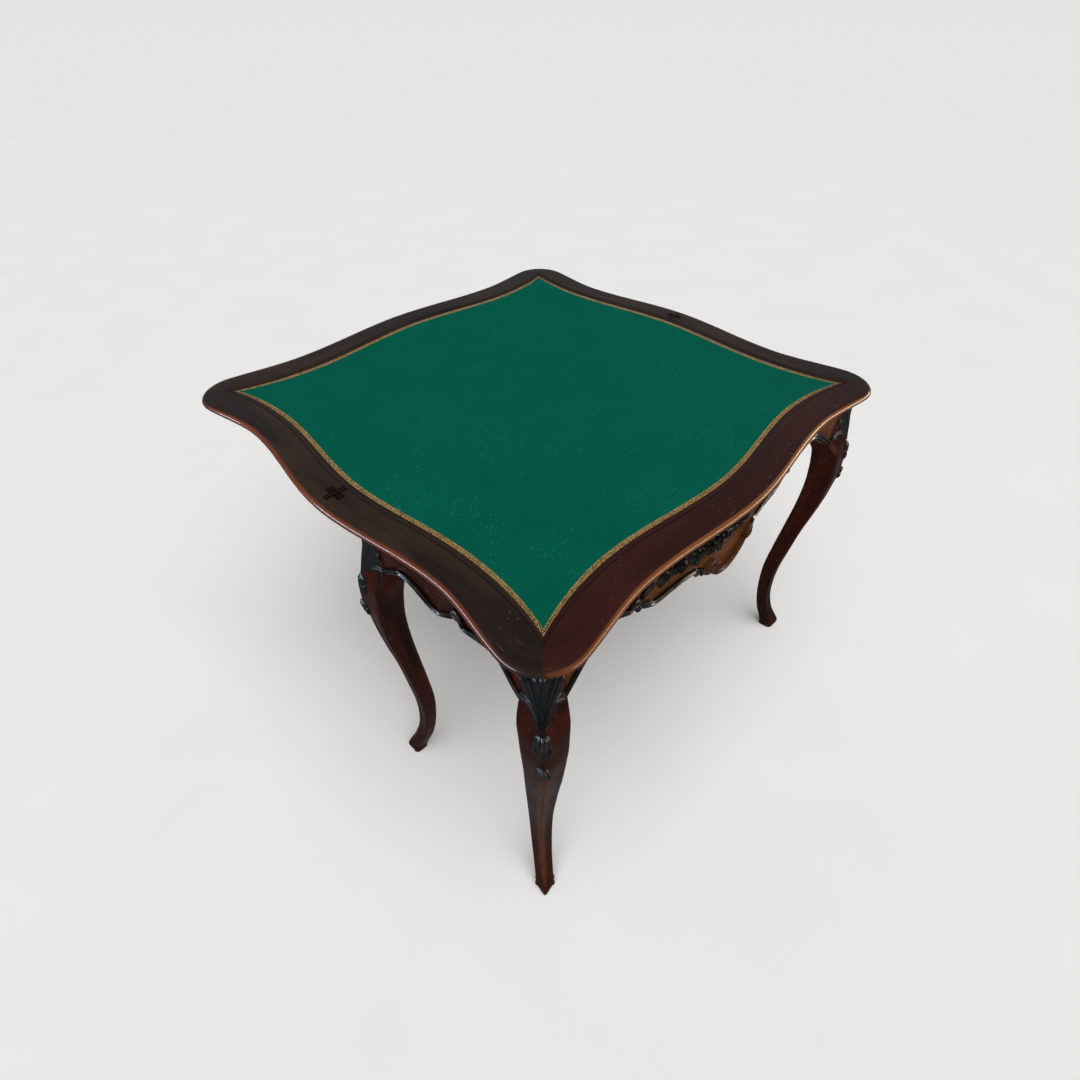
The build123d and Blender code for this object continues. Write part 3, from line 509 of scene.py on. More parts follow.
class Recipe:
    """Grows the node tree of one material."""

    def __init__(self, name, coordinates="Object"):
        self.material = bpy.data.materials.new(name)
        self.material.use_nodes = True
        self.tree = self.material.node_tree
        self.tree.nodes.clear()
        self.shader = self.node("BsdfPrincipled")
        self.node("OutputMaterial", Surface=self.shader.outputs["BSDF"])
        self.place = self.node("TexCoord").outputs[coordinates]

    def node(self, kind, **inputs):
        return grow(self.tree, "ShaderNode" + kind, inputs)

    def stretched(self, scale=(1.0, 1.0, 1.0), location=(0.0, 0.0, 0.0)):
        """Coordinates scaled differently along each axis."""
        return self.node("Mapping", Scale=scale, Location=location, Vector=self.place).outputs["Vector"]

    def noise(self, vector, scale, detail=4.0, roughness=0.55, distortion=0.0):
        return self.node("TexNoise", Vector=vector, Scale=scale, Detail=detail, Roughness=roughness,
                         Distortion=distortion).outputs["Fac"]

    def cells(self, vector, scale):
        return self.node("TexVoronoi", Vector=vector, Scale=scale).outputs["Distance"]

    def attribute(self, name):
        return grow(self.tree, "ShaderNodeAttribute", {}, attribute_name=name).outputs["Fac"]

    def ramp(self, factor, stops):
        """Colours or greys at places along a factor."""
        node = self.node("ValToRGB", Fac=factor)
        for element, (position, colour) in zip(node.color_ramp.elements, stops):
            element.position = position
            element.color = (*([colour] * 3 if isinstance(colour, (int, float)) else colour), 1.0)
        return node.outputs["Color"]

    def math(self, operation, first, second):
        return grow(self.tree, "ShaderNodeMath", {0: first, 1: second}, operation=operation).outputs["Value"]

    def mix(self, factor, first, second, blend="MIX"):
        return grow(self.tree, "ShaderNodeMix", {0: factor, 6: first, 7: second}, data_type="RGBA",
                    blend_type=blend).outputs[2]

    def bump(self, height, strength, distance, **under):
        return self.node("Bump", Height=height, Strength=strength, Distance=distance, **under).outputs["Normal"]

    def finish(self, colour, roughness, normal=None, **values):
        """Joins the pattern to the shader, and sets the shader's plain values."""
        values.update({"Base Color": colour, "Roughness": roughness})
        if normal is not None:
            values["Normal"] = normal
        for name, value in values.items():
            feed(self.tree, self.shader.inputs[name.replace("_", " ")], value)
        return self.material


PLAIN_POLISH, RIM_POLISH = (0.08, 0.10), (0.20, 0.45)  # specular level and weight of the coat


def polished_wood(name, mid, dark, worn, along, has_wear=False, uses_uv=False, polish=PLAIN_POLISH):
    """French-polished wood with its figure drawn out along one axis, fine scratches and specks of dust."""
    recipe = Recipe(name, "UV" if uses_uv else "Object")
    fine, broad, nick = [520.0] * 3, [26.0] * 3, [420.0] * 3
    fine[along], broad[along], nick[along] = 16.0, 2.6, 26.0
    streaks = recipe.noise(recipe.stretched(fine), 1.0, 5.0, 0.62)
    figure = recipe.noise(recipe.stretched(broad, (3.1, 1.7, 0.4)), 1.0, 3.0, 0.55, 0.8)
    tone = recipe.ramp(figure, [(0.34, dark), (0.62, mid)])
    pores = recipe.ramp(streaks, [(0.36, 0.62), (0.52, 1.0)])
    colour = recipe.mix(0.55, tone, pores, "MULTIPLY")
    even = recipe.stretched()
    if has_wear:
        patchy = recipe.noise(recipe.stretched(broad, (0.2, 5.0, 1.0)), 1.0)
        uneven = recipe.math("MULTIPLY", recipe.math("SUBTRACT", patchy, 0.5), 0.45)
        amount = recipe.math("ADD", recipe.attribute("wear"), uneven)
        rubbed = recipe.ramp(amount, [(0.42, 0.0), (0.70, 1.0)])
        colour = recipe.mix(rubbed, colour, recipe.mix(0.45, worn, pores, "MULTIPLY"))
    gathered = recipe.ramp(recipe.noise(even, 9.0, 2.0), [(0.50, 0.0), (0.64, 1.0)])
    specks = recipe.ramp(recipe.cells(even, 140.0), [(0.065, 0.75), (0.10, 0.0)])
    scratches = recipe.ramp(recipe.noise(recipe.stretched(nick, (7.0, 2.0, 5.0)), 1.0, 1.0, 0.3),
                            [(0.735, 0.0), (0.76, 0.30)])
    marks = recipe.math("MULTIPLY", recipe.math("MAXIMUM", specks, scratches), gathered)
    colour = recipe.mix(marks, colour, (0.42, 0.36, 0.30))
    roughness = recipe.ramp(recipe.noise(even, 38.0, 6.0, 0.7), [(0.35, 0.24), (0.70, 0.40)])
    grain = recipe.bump(streaks, 0.04, 0.2 * MM)
    ripple = recipe.bump(recipe.noise(even, 11.0, 2.0), 0.06, 2.0 * MM, Normal=grain)
    return recipe.finish(colour, roughness, ripple, Specular_IOR_Level=polish[0], Coat_Weight=polish[1],
                         Coat_Roughness=0.06)


def ebonised_wood(name, finish, shine, brown, rub):
    """Black-stained, polished carving, browner on its rubbed high places."""
    recipe = Recipe(name)
    grain = recipe.noise(recipe.stretched((90.0, 90.0, 260.0)), 1.0)
    blotch = recipe.noise(recipe.stretched(), 60.0, 3.0)
    rubbed = recipe.math("MULTIPLY", recipe.attribute("wear"), blotch)
    colour = recipe.mix(recipe.ramp(rubbed, [(rub[0], 0.0), (rub[1], brown)]), finish.ebony, finish.ebony_worn)
    roughness = recipe.ramp(blotch, [(0.3, shine[0]), (0.7, shine[1])])
    return recipe.finish(colour, roughness, recipe.bump(grain, 0.03, 0.2 * MM), Specular_IOR_Level=0.5)


def inner_timber(name, finish, along):
    """Unpolished secondary timber inside the frame, with its grain along one axis."""
    recipe = Recipe(name)
    broad, fine = [60.0] * 3, [700.0] * 3
    broad[along], fine[along] = 7.0, 30.0
    rings = recipe.noise(recipe.stretched(broad), 1.0, 5.0, 0.6, 0.6)
    colour = recipe.ramp(rings, [(0.32, finish.timber_dark), (0.60, finish.timber)])
    fibres = recipe.noise(recipe.stretched(fine), 1.0, 3.0)
    roughness = recipe.ramp(fibres, [(0.3, 0.62), (0.7, 0.80)])
    return recipe.finish(colour, roughness, recipe.bump(fibres, 0.25, 0.3 * MM))


def shade(colour, share):
    """A share of a colour."""
    return [share * value for value in colour]


def baize_cloth(name, finish):
    """Green wool baize: a felted nap with small lighter fibres and specks of lint."""
    recipe = Recipe(name)
    even = recipe.stretched()
    nap = recipe.noise(even, 900.0, 3.0, 0.7)
    drift = recipe.noise(even, 9.0, 3.0, 0.6)
    tone = recipe.ramp(drift, [(0.32, shade(finish.baize, 0.95)), (0.70, shade(finish.baize, 1.04))])
    fibre = recipe.ramp(nap, [(0.32, 0.62), (0.66, 1.30)])
    colour = recipe.mix(1.0, tone, fibre, "MULTIPLY")
    lint = recipe.ramp(recipe.cells(even, 150.0), [(0.09, 0.50), (0.13, 0.0)])
    sparse = recipe.ramp(recipe.noise(even, 17.0, 1.0), [(0.52, 0.0), (0.60, 1.0)])
    colour = recipe.mix(recipe.math("MULTIPLY", lint, sparse), colour, finish.lint)
    roughness = recipe.ramp(nap, [(0.3, 0.90), (0.7, 1.0)])
    return recipe.finish(colour, roughness, recipe.bump(nap, 0.35, 0.4 * MM), Specular_IOR_Level=0.05)


def gilt_leather(name, finish):
    """Gold leaf tooled on thin leather, worn through in places."""
    recipe = Recipe(name)
    even = recipe.stretched()
    grain = recipe.noise(even, 1400.0, 3.0, 0.6)
    thin = recipe.ramp(recipe.noise(even, 430.0, 4.0, 0.7), [(0.46, 0.0), (0.62, 0.8)])
    colour = recipe.mix(thin, finish.gilt, finish.leather)
    roughness = recipe.ramp(grain, [(0.3, 0.38), (0.7, 0.55)])
    return recipe.finish(colour, roughness, recipe.bump(grain, 0.3, 0.3 * MM), Metallic=0.35,
                         Specular_IOR_Level=0.5)


def tooled_leather(name, finish):
    """Dark leather at the bottom of the stamped marks."""
    recipe = Recipe(name)
    grain = recipe.noise(recipe.stretched(), 1800.0, 3.0)
    colour = recipe.ramp(grain, [(0.3, shade(finish.leather, 0.55)), (0.7, finish.leather)])
    return recipe.finish(colour, recipe.ramp(grain, [(0.3, 0.5), (0.7, 0.7)]))


def metal(name, colour, rough):
    """Old brass or steel with a dulled, lightly scratched surface."""
    recipe = Recipe(name)
    tarnish = recipe.noise(recipe.stretched(), 320.0, 4.0, 0.65)
    scratch = recipe.noise(recipe.stretched((3000.0, 160.0, 160.0)), 1.0, 2.0)
    tone = recipe.ramp(tarnish, [(0.30, shade(colour, 0.45)), (0.62, colour)])
    roughness = recipe.ramp(tarnish, [(0.3, rough + 0.22), (0.7, rough)])
    return recipe.finish(tone, roughness, recipe.bump(scratch, 0.12, 0.1 * MM), Metallic=1.0)


def floor_finish(name):
    """Plain pale floor."""
    recipe = Recipe(name)
    drift = recipe.noise(recipe.stretched(), 3.0, 2.0)
    colour = recipe.ramp(drift, [(0.3, 0.90), (0.7, 0.92)])
    return recipe.finish(colour, recipe.ramp(drift, [(0.3, 0.85), (0.7, 0.9)]), Specular_IOR_Level=0.2)


def finish_named(name):
    """The material of that name, made the first time it is asked for."""
    label = name + "_finish"
    if label in bpy.data.materials:
        return bpy.data.materials[label]
    tints = bpy.context.scene.card_table_finish
    make, *values = {
        "rim_wood": (polished_wood, tints.rim, tints.rim_dark, tints.edge, 0, True, True, RIM_POLISH),
        "front_rim_wood": (polished_wood, tints.front_rim, tints.front_rim_dark, tints.front_edge, 0, True, True,
                           RIM_POLISH),
        "front_wood": (polished_wood, tints.apron, tints.apron_dark, tints.edge, 0),
        "panel_wood": (polished_wood, tints.rim, tints.rim_dark, tints.edge, 0),
        "side_wood": (polished_wood, tints.side_apron, tints.side_apron_dark, tints.edge, 1),
        "leg_wood": (polished_wood, tints.leg, tints.leg_dark, tints.leg_edge, 2, True),
        "lobe_wood": (polished_wood, tints.lobe, tints.apron_dark, tints.leg_edge, 0),
        "ebonised": (ebonised_wood, tints, (0.26, 0.44), 0.55, (0.30, 0.52)),
        "moulding": (ebonised_wood, tints, (0.14, 0.28), 0.85, (0.30, 0.56)),
        "inner_timber": (inner_timber, tints, 0),
        "fly_timber": (inner_timber, tints, 1),
        "baize": (baize_cloth, tints),
        "gilt_leather": (gilt_leather, tints),
        "tooled_leather": (tooled_leather, tints),
        "brass": (metal, tints.brass, 0.34),
        "patina": (metal, tints.patina, 0.38),
        "steel": (metal, tints.steel, 0.34),
        "pale_floor": (floor_finish,),
    }[name]
    return make(label, *values)


def dress_nodes(names, finish):
    """Gives CAD nodes their finish."""
    material = finish_named(finish)
    for name in names:
        node = frame["nodes"][name]
        node.data.materials.clear()
        node.data.materials.append(material)


# Rims, baize and gilt leather

RIM_FIELD_SECTION = (  # outward from the field's edge, height under the flat, rubbed share
    (0.0, -24.0, 0.3), (0.0, -2.9, 0.1), (0.5, -2.2, 0.2), (1.3, -1.9, 0.2), (2.1, -2.2, 0.0), (3.4, -2.7, 0.0),
    (5.2, -2.6, 0.0), (6.8, -2.0, 0.0), (7.8, -1.1, 0.0), (8.3, -0.4, 0.15), (9.0, 0.0, 0.25), (9.8, -0.05, 0.2),
    (10.3, -0.20, 0.0), (10.35, -1.60, 0.0), (11.7, -0.40, 0.0), (13.2, -0.3, 0.0))
RIM_EDGE_SECTION = (  # inward from the outer edge, height under the flat, rubbed share
    (34.0, -0.30, 0.0), (24.0, -0.25, 0.0), (16.0, -0.25, 0.0), (12.0, -0.30, 0.0), (9.6, -0.50, 0.0),
    (8.2, -0.90, 0.25), (6.2, -1.5, 0.60), (4.2, -2.4, 0.85), (2.4, -3.5, 1.0), (1.0, -5.0, 1.0), (0.2, -6.7, 1.0),
    (0.0, -8.0, 0.9), (0.5, -9.4, 0.75), (1.7, -10.8, 0.5), (2.9, -11.9, 0.25), (3.6, -12.3, 0.0), (4.1, -13.2, 0.0),
    (4.9, -14.2, 0.25), (6.6, -15.8, 0.45), (9.0, -17.9, 0.4), (11.5, -20.2, 0.25), (14.0, -22.6, 0.1),
    (16.0, -24.0, 0.0))


def rim_fade(half, count):
    """How much of the edge's paler tone shows at each row of a board, less toward its mitres."""
    along = np.linspace(0.0, 1.0, count)
    if half == 0:
        return 0.42 + 0.58 * np.sin(pi * along) ** 0.5
    return 0.30 + 0.62 * np.clip((1 - along) / 0.30, 0, 1)


def rim_piece(name, side, half, body):
    """One board of the moulded rim; half is 0 for a long board, or 1 or -1 for a board that ends at the seam."""
    top = bpy.context.scene.card_table_top
    count = top.stations if half == 0 else top.stations // 2
    columns, section = [], []
    for line_of, points, sign in ((field_line, RIM_FIELD_SECTION, -1.0), (edge_line, RIM_EDGE_SECTION, 1.0)):
        for distance, drop, rubbed in points:
            line = line_of(top, side, sign * distance * MM)
            if half:
                line = half_of(line, half > 0, top.seam)
            columns.append([on_side(side, *point, top.height + drop * MM) for point in evenly(line, count)])
            section.append(rubbed)
    rows = np.array(columns).transpose(1, 0, 2)
    uvs = [(x, y) for x in distances(rows[:, -1]) for y in distances(rows[count // 2])]
    verts, faces = loft_rows(rows)
    wear = [rubbed * share for share in rim_fade(half, count) for rubbed in section]
    finish = finish_named("front_rim_wood" if side == "front" else "rim_wood")
    piece = new_piece(name + "_moulded", verts, faces, finish, uvs=uvs, wear=wear, sharp=48.0)
    if half:
        cut_hinge_bed(piece, -1 if side == "left" else 1, half)
    return settle(piece, body, "polished_wood", name)


def box_mesh(shell, low, high):
    """Adds a box between two corners to a bmesh."""
    made = bmesh.ops.create_cube(shell, size=1.0)
    size = [b - a for a, b in zip(low, high)]
    centre = [(a + b) / 2 for a, b in zip(low, high)]
    bmesh.ops.scale(shell, vec=size, verts=made["verts"])
    bmesh.ops.translate(shell, vec=centre, verts=made["verts"])


def cut(piece, cutter):
    """Takes the cutter's shape out of a piece, and deletes the cutter."""
    modifier = piece.modifiers.new("cut", "BOOLEAN")
    modifier.operation = "DIFFERENCE"
    modifier.solver = "EXACT"
    modifier.use_self = True
    modifier.object = cutter
    piece.data = plain_mesh(piece)
    bpy.data.objects.remove(cutter)


HINGE_PLAY = 0.1 * MM
HINGE_BED_DEPTH = 1.7 * MM
HINGE_BED_REACH = 5.0 * MM  # from the seam, along the hinge's whole length
HINGE_TONGUE_REACH = 18.0 * MM
HINGE_TONGUE_HALF = 6.0 * MM
HINGE_GROOVE_RADIUS = 1.9 * MM
CUTTER_CLEAR = 4.0 * MM


def cut_hinge_bed(piece, side, half):
    """Lets a rim board in for its hinge plate and the barrel's groove."""
    top = bpy.context.scene.card_table_top
    low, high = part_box("{}_hinge_{}_plate".format("left" if side < 0 else "right", "near" if half < 0 else "far"))
    centre_x = (low.x + high.x) / 2
    row_half = (high.x - low.x) / 2 + HINGE_PLAY
    shell = bmesh.new()
    for half_width, reach in ((row_half, HINGE_BED_REACH), (HINGE_TONGUE_HALF + HINGE_PLAY, HINGE_TONGUE_REACH)):
        ys = sorted((-half * CUTTER_CLEAR, half * (reach + HINGE_PLAY)))
        box_mesh(shell, (centre_x - half_width, ys[0], top.height - HINGE_BED_DEPTH),
                 (centre_x + half_width, ys[1], top.height + CUTTER_CLEAR))
    groove = Matrix.Translation((centre_x, 0, top.height + top.seam)) @ Matrix.Rotation(pi / 2, 4, "Y")
    bmesh.ops.create_cone(shell, cap_ends=True, segments=24, radius1=HINGE_GROOVE_RADIUS,
                          radius2=HINGE_GROOVE_RADIUS, depth=2 * (row_half + HINGE_PLAY), matrix=groove)
    cut(piece, object_from(shell, "hinge_bed"))


def leaf_lines(top, sign, inset, seam, count, flank_count):
    """A leaf's field at an inset, in plan: its line from the seam on the left, its long side, and on the right."""
    lines = []
    for side, points in (("left", flank_count), ("front" if sign < 0 else "back", count), ("right", flank_count)):
        line = field_line(top, side, inset)
        if side in ("left", "right"):
            line = half_of(line, sign > 0, seam)
        lines.append(np.array([on_side(side, *point, 0.0) for point in evenly(line, points)]))
    return lines


def leaf_border(top, sign, inset, seam, count):
    """The border of a leaf's field at an inset, from the seam round the long side and back, in plan."""
    left, long_side, right = leaf_lines(top, sign, inset, seam, count, count // 2)
    return np.vstack((left, long_side[1:], right[::-1][1:]))


CLOTH_SEAM = 0.05 * MM  # half of the gap between the two cloths
CLOTH_ROUND = 0.3 * MM  # how far the cloth's edge falls


def baize_piece(leaf, sign, body):
    """Baize of one leaf, cut to the gilt band's inner line, with a slightly rounded edge."""
    top = bpy.context.scene.card_table_top
    columns, rows = top.stations, top.stations // 2
    left, outer, right = leaf_lines(top, sign, top.band_width, CLOTH_SEAM, columns + 1, rows + 1)
    wide = columns + 1
    s = np.linspace(0.0, 1.0, wide)[None, :, None]
    t = np.linspace(0.0, 1.0, rows + 1)[:, None, None]
    grid = (1 - s) * left[:, None] + s * right[:, None] + t * (outer - (1 - s) * outer[0] - s * outer[-1])
    under = grid.reshape(-1, 3)
    under[:, 2] = top.height - top.panel_drop
    over = under + (0.0, 0.0, top.baize_thickness)
    loop = [*range(wide), *[v * wide + columns for v in range(1, rows + 1)],
            *[rows * wide + u for u in reversed(range(columns))], *[v * wide for v in reversed(range(1, rows))]]
    over[loop, 2] -= CLOTH_ROUND
    faces = []
    count = len(under)
    for first in (v * wide + u for v in range(rows) for u in range(columns)):
        ring = first, first + 1, first + wide + 1, first + wide
        faces += [ring, tuple(count + corner for corner in reversed(ring))]
    faces += [(first, after, count + after, count + first) for first, after in zip(loop, loop[1:] + loop[:1])]
    piece = new_piece(leaf + "_baize_cloth", np.vstack((over, under)), faces, finish_named("baize"), sharp=80.0)
    settle(piece, body, "baize", leaf + "_baize")
    return piece


BAND_SECTION = ((0.0, 0.0), (0.0, 0.72), (0.35, 0.95), (0.9, 0.95), (1.25, 0.8), (3.7, 0.8), (6.2, 0.8), (6.6, 0.95),
                (7.1, 0.95), (7.5, 0.72), (7.5, 0.0))
TOOLED_ROWS = (2.0, 3.9, 5.8)


def leather_piece(leaf, sign, body):
    """Gilt leather band of one leaf, mitred at the two pointed corners."""
    top = bpy.context.scene.card_table_top
    base = top.height - top.panel_drop
    columns = []
    for inset, rise in BAND_SECTION:
        line = leaf_border(top, sign, inset * MM, top.seam, 2 * top.stations)
        line[:, 2] = base + rise * MM
        columns.append(line)
    verts, faces = loft_rows(np.array(columns).transpose(1, 0, 2))
    piece = new_piece(leaf + "_gilt_band", verts, faces, finish_named("gilt_leather"), sharp=30.0)
    return settle(piece, body, "gilt_leather", leaf + "_leather_band")


def wire_object(name, lines):
    """A loose mesh of open polylines, or of points where a line has one point."""
    verts, edges = [], []
    for line in lines:
        start = len(verts)
        verts += [tuple(point) for point in line]
        edges += [(start + index, start + index + 1) for index in range(len(line) - 1)]
    mesh = bpy.data.meshes.new(name)
    mesh.from_pydata(verts, edges, [])
    return add_object(name, mesh)


class NodeGroup:
    """Builds one Geometry Nodes tree with named inputs."""

    def __init__(self, name, **inputs):
        self.tree = bpy.data.node_groups.new(name, "GeometryNodeTree")
        new_socket = self.tree.interface.new_socket
        for way in ("INPUT", "OUTPUT"):
            new_socket(name="Geometry", in_out=way, socket_type="NodeSocketGeometry")
        self.sockets = {label: new_socket(name=label, in_out="INPUT", socket_type="NodeSocket" + kind).identifier
                        for label, kind in inputs.items()}
        self.start = self.node("NodeGroupInput")

    def node(self, kind, inputs=None, **settings):
        """The outputs of a new node."""
        return grow(self.tree, kind, inputs or {}, **settings).outputs

    def place(self, points, instance, **turned):
        """Ends the tree: a real copy of the instance on each point, with its finish."""
        placed = self.node("GeometryNodeInstanceOnPoints", {"Points": points, "Instance": instance, **turned})
        real = self.node("GeometryNodeRealizeInstances", {"Geometry": placed["Instances"]})
        finished = self.node("GeometryNodeSetMaterial", {"Geometry": real["Geometry"],
                                                         "Material": self.start["Finish"]})
        self.node("NodeGroupOutput", {"Geometry": finished["Geometry"]})
        return self

    def run(self, wire, name, **values):
        """Runs the tree on an object and returns the plain mesh that it makes, as a new object."""
        modifier = wire.modifiers.new(name, "NODES")
        modifier.node_group = self.tree
        for label, value in values.items():
            modifier[self.sockets[label]] = value
        mesh = plain_mesh(wire)
        bpy.data.objects.remove(wire)
        mesh.name = name
        return add_object(name, mesh)


def tooling_group():
    """Six-sided marks stamped at an even pitch along a line, each turned with the line."""
    group = NodeGroup("stamped_marks", Pitch="Float", Length="Float", Width="Float", Relief="Float", Seed="Int",
                      Finish="Material")
    start = group.start
    curve = group.node("GeometryNodeMeshToCurve", {"Mesh": start["Geometry"]})
    spaced = group.node("GeometryNodeResampleCurve", {"Curve": curve["Curve"], "Length": start["Pitch"]},
                        mode="LENGTH")
    tangent = group.node("GeometryNodeInputTangent")
    turn = group.node("FunctionNodeAlignRotationToVector", {"Vector": tangent["Tangent"]}, axis="X")
    mark = group.node("GeometryNodeMeshCone", {"Vertices": 6, "Radius Top": 0.35, "Radius Bottom": 0.5,
                                               "Depth": 1.0})
    size = group.node("ShaderNodeCombineXYZ", {"X": start["Length"], "Y": start["Width"], "Z": start["Relief"]})
    vary = group.node("FunctionNodeRandomValue", {2: 0.75, 3: 1.15, "Seed": start["Seed"]}, data_type="FLOAT")
    scaled = group.node("ShaderNodeVectorMath", {0: size["Vector"], "Scale": vary[1]}, operation="SCALE")
    return group.place(spaced["Curve"], mark["Mesh"], Rotation=turn["Rotation"], Scale=scaled["Vector"])


def tooled_marks(leaf, sign, body, group):
    """Rows of dark stamped marks along one leaf's gilt band."""
    top = bpy.context.scene.card_table_top
    tooling = bpy.context.scene.card_table_tooling
    lines = []
    for inset in TOOLED_ROWS:
        line = leaf_border(top, sign, inset * MM, top.seam + tooling.mark_length, 2 * top.stations)
        line[:, 2] = top.height - top.panel_drop + top.band_thickness
        lines.append(line)
    wire = wire_object("tooled_lines", lines)
    piece = group.run(wire, leaf + "_tooled_marks", Pitch=tooling.pitch, Length=tooling.mark_length,
                      Width=tooling.mark_width, Relief=0.16 * MM, Seed=3 + sign,
                      Finish=finish_named("tooled_leather"))
    return settle(piece, body, "gilt_leather")


# Cabriole legs

LEG_HEIGHT_SHARES = (
    0.0, 0.017, 0.045, 0.085, 0.156, 0.234, 0.315, 0.408, 0.501, 0.581, 0.65, 0.70, 0.738, 0.78,
    0.822, 0.85, 0.891, 0.94, 1.0)
LEG_RIDGE_SHARES = (
    0.07, 0.0, 0.18, 0.53, 0.98, 1.19, 1.21, 1.04, 0.84, 0.56, 0.36, 0.27, 0.21, 0.29,
    0.42, 0.54, 0.75, 1.0, 1.12)
LEG_INNER_SHARES = (
    1.02, 1.05, 1.23, 1.52, 1.87, 2.09, 2.19, 2.09, 1.94, 1.82, 1.77, 1.79, 1.86, 1.97,
    2.15, 2.32, 2.58, 2.70, 2.75)
LEG_HALF_WIDTH_SHARES = (
    0.42, 0.43, 0.43, 0.44, 0.47, 0.50, 0.54, 0.60, 0.66, 0.71, 0.75, 0.79, 0.83, 0.86,
    0.89, 0.90, 0.90, 0.90, 0.90)
CORNER_ROUND_SHARE = 0.22
POST_ROUND_SHARE = 0.03
BEAD_LEVEL_SHARES = (0.03, 0.09, 0.66, 0.74)
POST_BLEND = (575.0 * MM, 622.0 * MM)
TOE_REACH_SHARE = 0.10  # height share up to which the front toes reach out
BEAD_HOLLOW_SHARE = 0.035  # depth of a flank's hollow as a share of its width
BEAD_STEPS = 5
RIDGE_RUBBED, RIDGE_BEAD_RUBBED, CORNER_RUBBED = 0.42, 0.20, 0.12
BEAD_RUBBED, PALER_RUBBED, FLANK_RUBBED = 0.85, 0.40, 0.05
PALER_SHARES = (0.05, 0.32)  # of a flank's width, from the ridge
TOE_SCROLL_SHARES = ((2.6, 1.1, 0.8), (1.5, -0.2, 1.0))  # height, inward and size as shares of the scroll's radius
TOE_SCROLL_SINK, TOE_SCROLL_RUBBED = 0.35, 0.1
FOOT_LEVELS = (0.12, 0.045)  # share of the sections that lie in the lowest share of the height
GATE_PLAY = 0.3 * MM  # gap above the swinging leg
OUT = Vector((1.0, 1.0, 0.0)).normalized()
ACROSS = Vector((-1.0, 1.0, 0.0)).normalized()


def smooth_table(shares, values, at):
    """A smooth value between the entries of a table."""
    index = min(max(int(np.searchsorted(shares, at)) - 1, 0), len(shares) - 2)
    slopes = np.gradient(np.array(values, float), np.array(shares, float))
    width = shares[index + 1] - shares[index]
    t = min(max((at - shares[index]) / width, 0.0), 1.0)
    return hermite(t, *values[index:index + 2], *(width * slopes[index:index + 2]))


def eased(low, high, value):
    """Rises smoothly from 0 to 1 between two values."""
    t = min(max((value - low) / (high - low), 0.0), 1.0)
    return t * t * (3 - 2 * t)


def value_on(line, along):
    """How far out a side's line lies at a place along it."""
    order = np.argsort(line[:, 0])
    return float(np.interp(along, line[order, 0], line[order, 1]))


def post_corners(corner):
    """Side, inner and other side corner of a post in plan, taken in the +X +Y quarter."""
    top, base = table_settings()[:2]
    inner_x = top.corner_x - base.inset - base.post_width
    if corner.startswith("front"):
        inner_y = top.corner_y - base.inset - base.post_depth
        face_y = value_on(apron_line("front"), inner_x)
    else:
        inner_y = base.back_face - base.post_depth + (base.open_joint if corner == "rear_left" else 0.0)
        face_y = base.back_face
    face_x = value_on(apron_line("left"), inner_y)
    return Vector((inner_x, face_y, 0)), Vector((inner_x, inner_y, 0)), Vector((face_x, inner_y, 0))


def toe_place(corner):
    """Plan place of a leg's toe in the +X +Y quarter."""
    top, base, legs = table_settings()
    crown_draw = base.corner_radius * (1 - cos(pi / 4))
    if corner.startswith("front"):
        crown_x = top.corner_x - base.inset - crown_draw
        crown_y = top.corner_y - base.inset - crown_draw + legs.forward
    else:
        crown_x = top.side_rise - base.inset - base.rear_draw - crown_draw
        crown_y = base.back_face - crown_draw
    return Vector((crown_x + legs.throw_x, crown_y + legs.throw_y, 0))


def quarter_to_table(corner):
    """Turns points of the +X +Y quarter into their place on the table at rest."""
    if corner != "gate":
        return Matrix.Diagonal((1 if corner.endswith("right") else -1, -1 if corner.startswith("front") else 1, 1, 1))
    swing = next(joint for joint in frame["joints"] if joint["name"] == "gate_swing")
    pin = Vector(swing["pos_m"])
    return Matrix.Translation(pin) @ Matrix.Rotation(pi / 2, 4, "Z") @ Matrix.Translation(-pin)


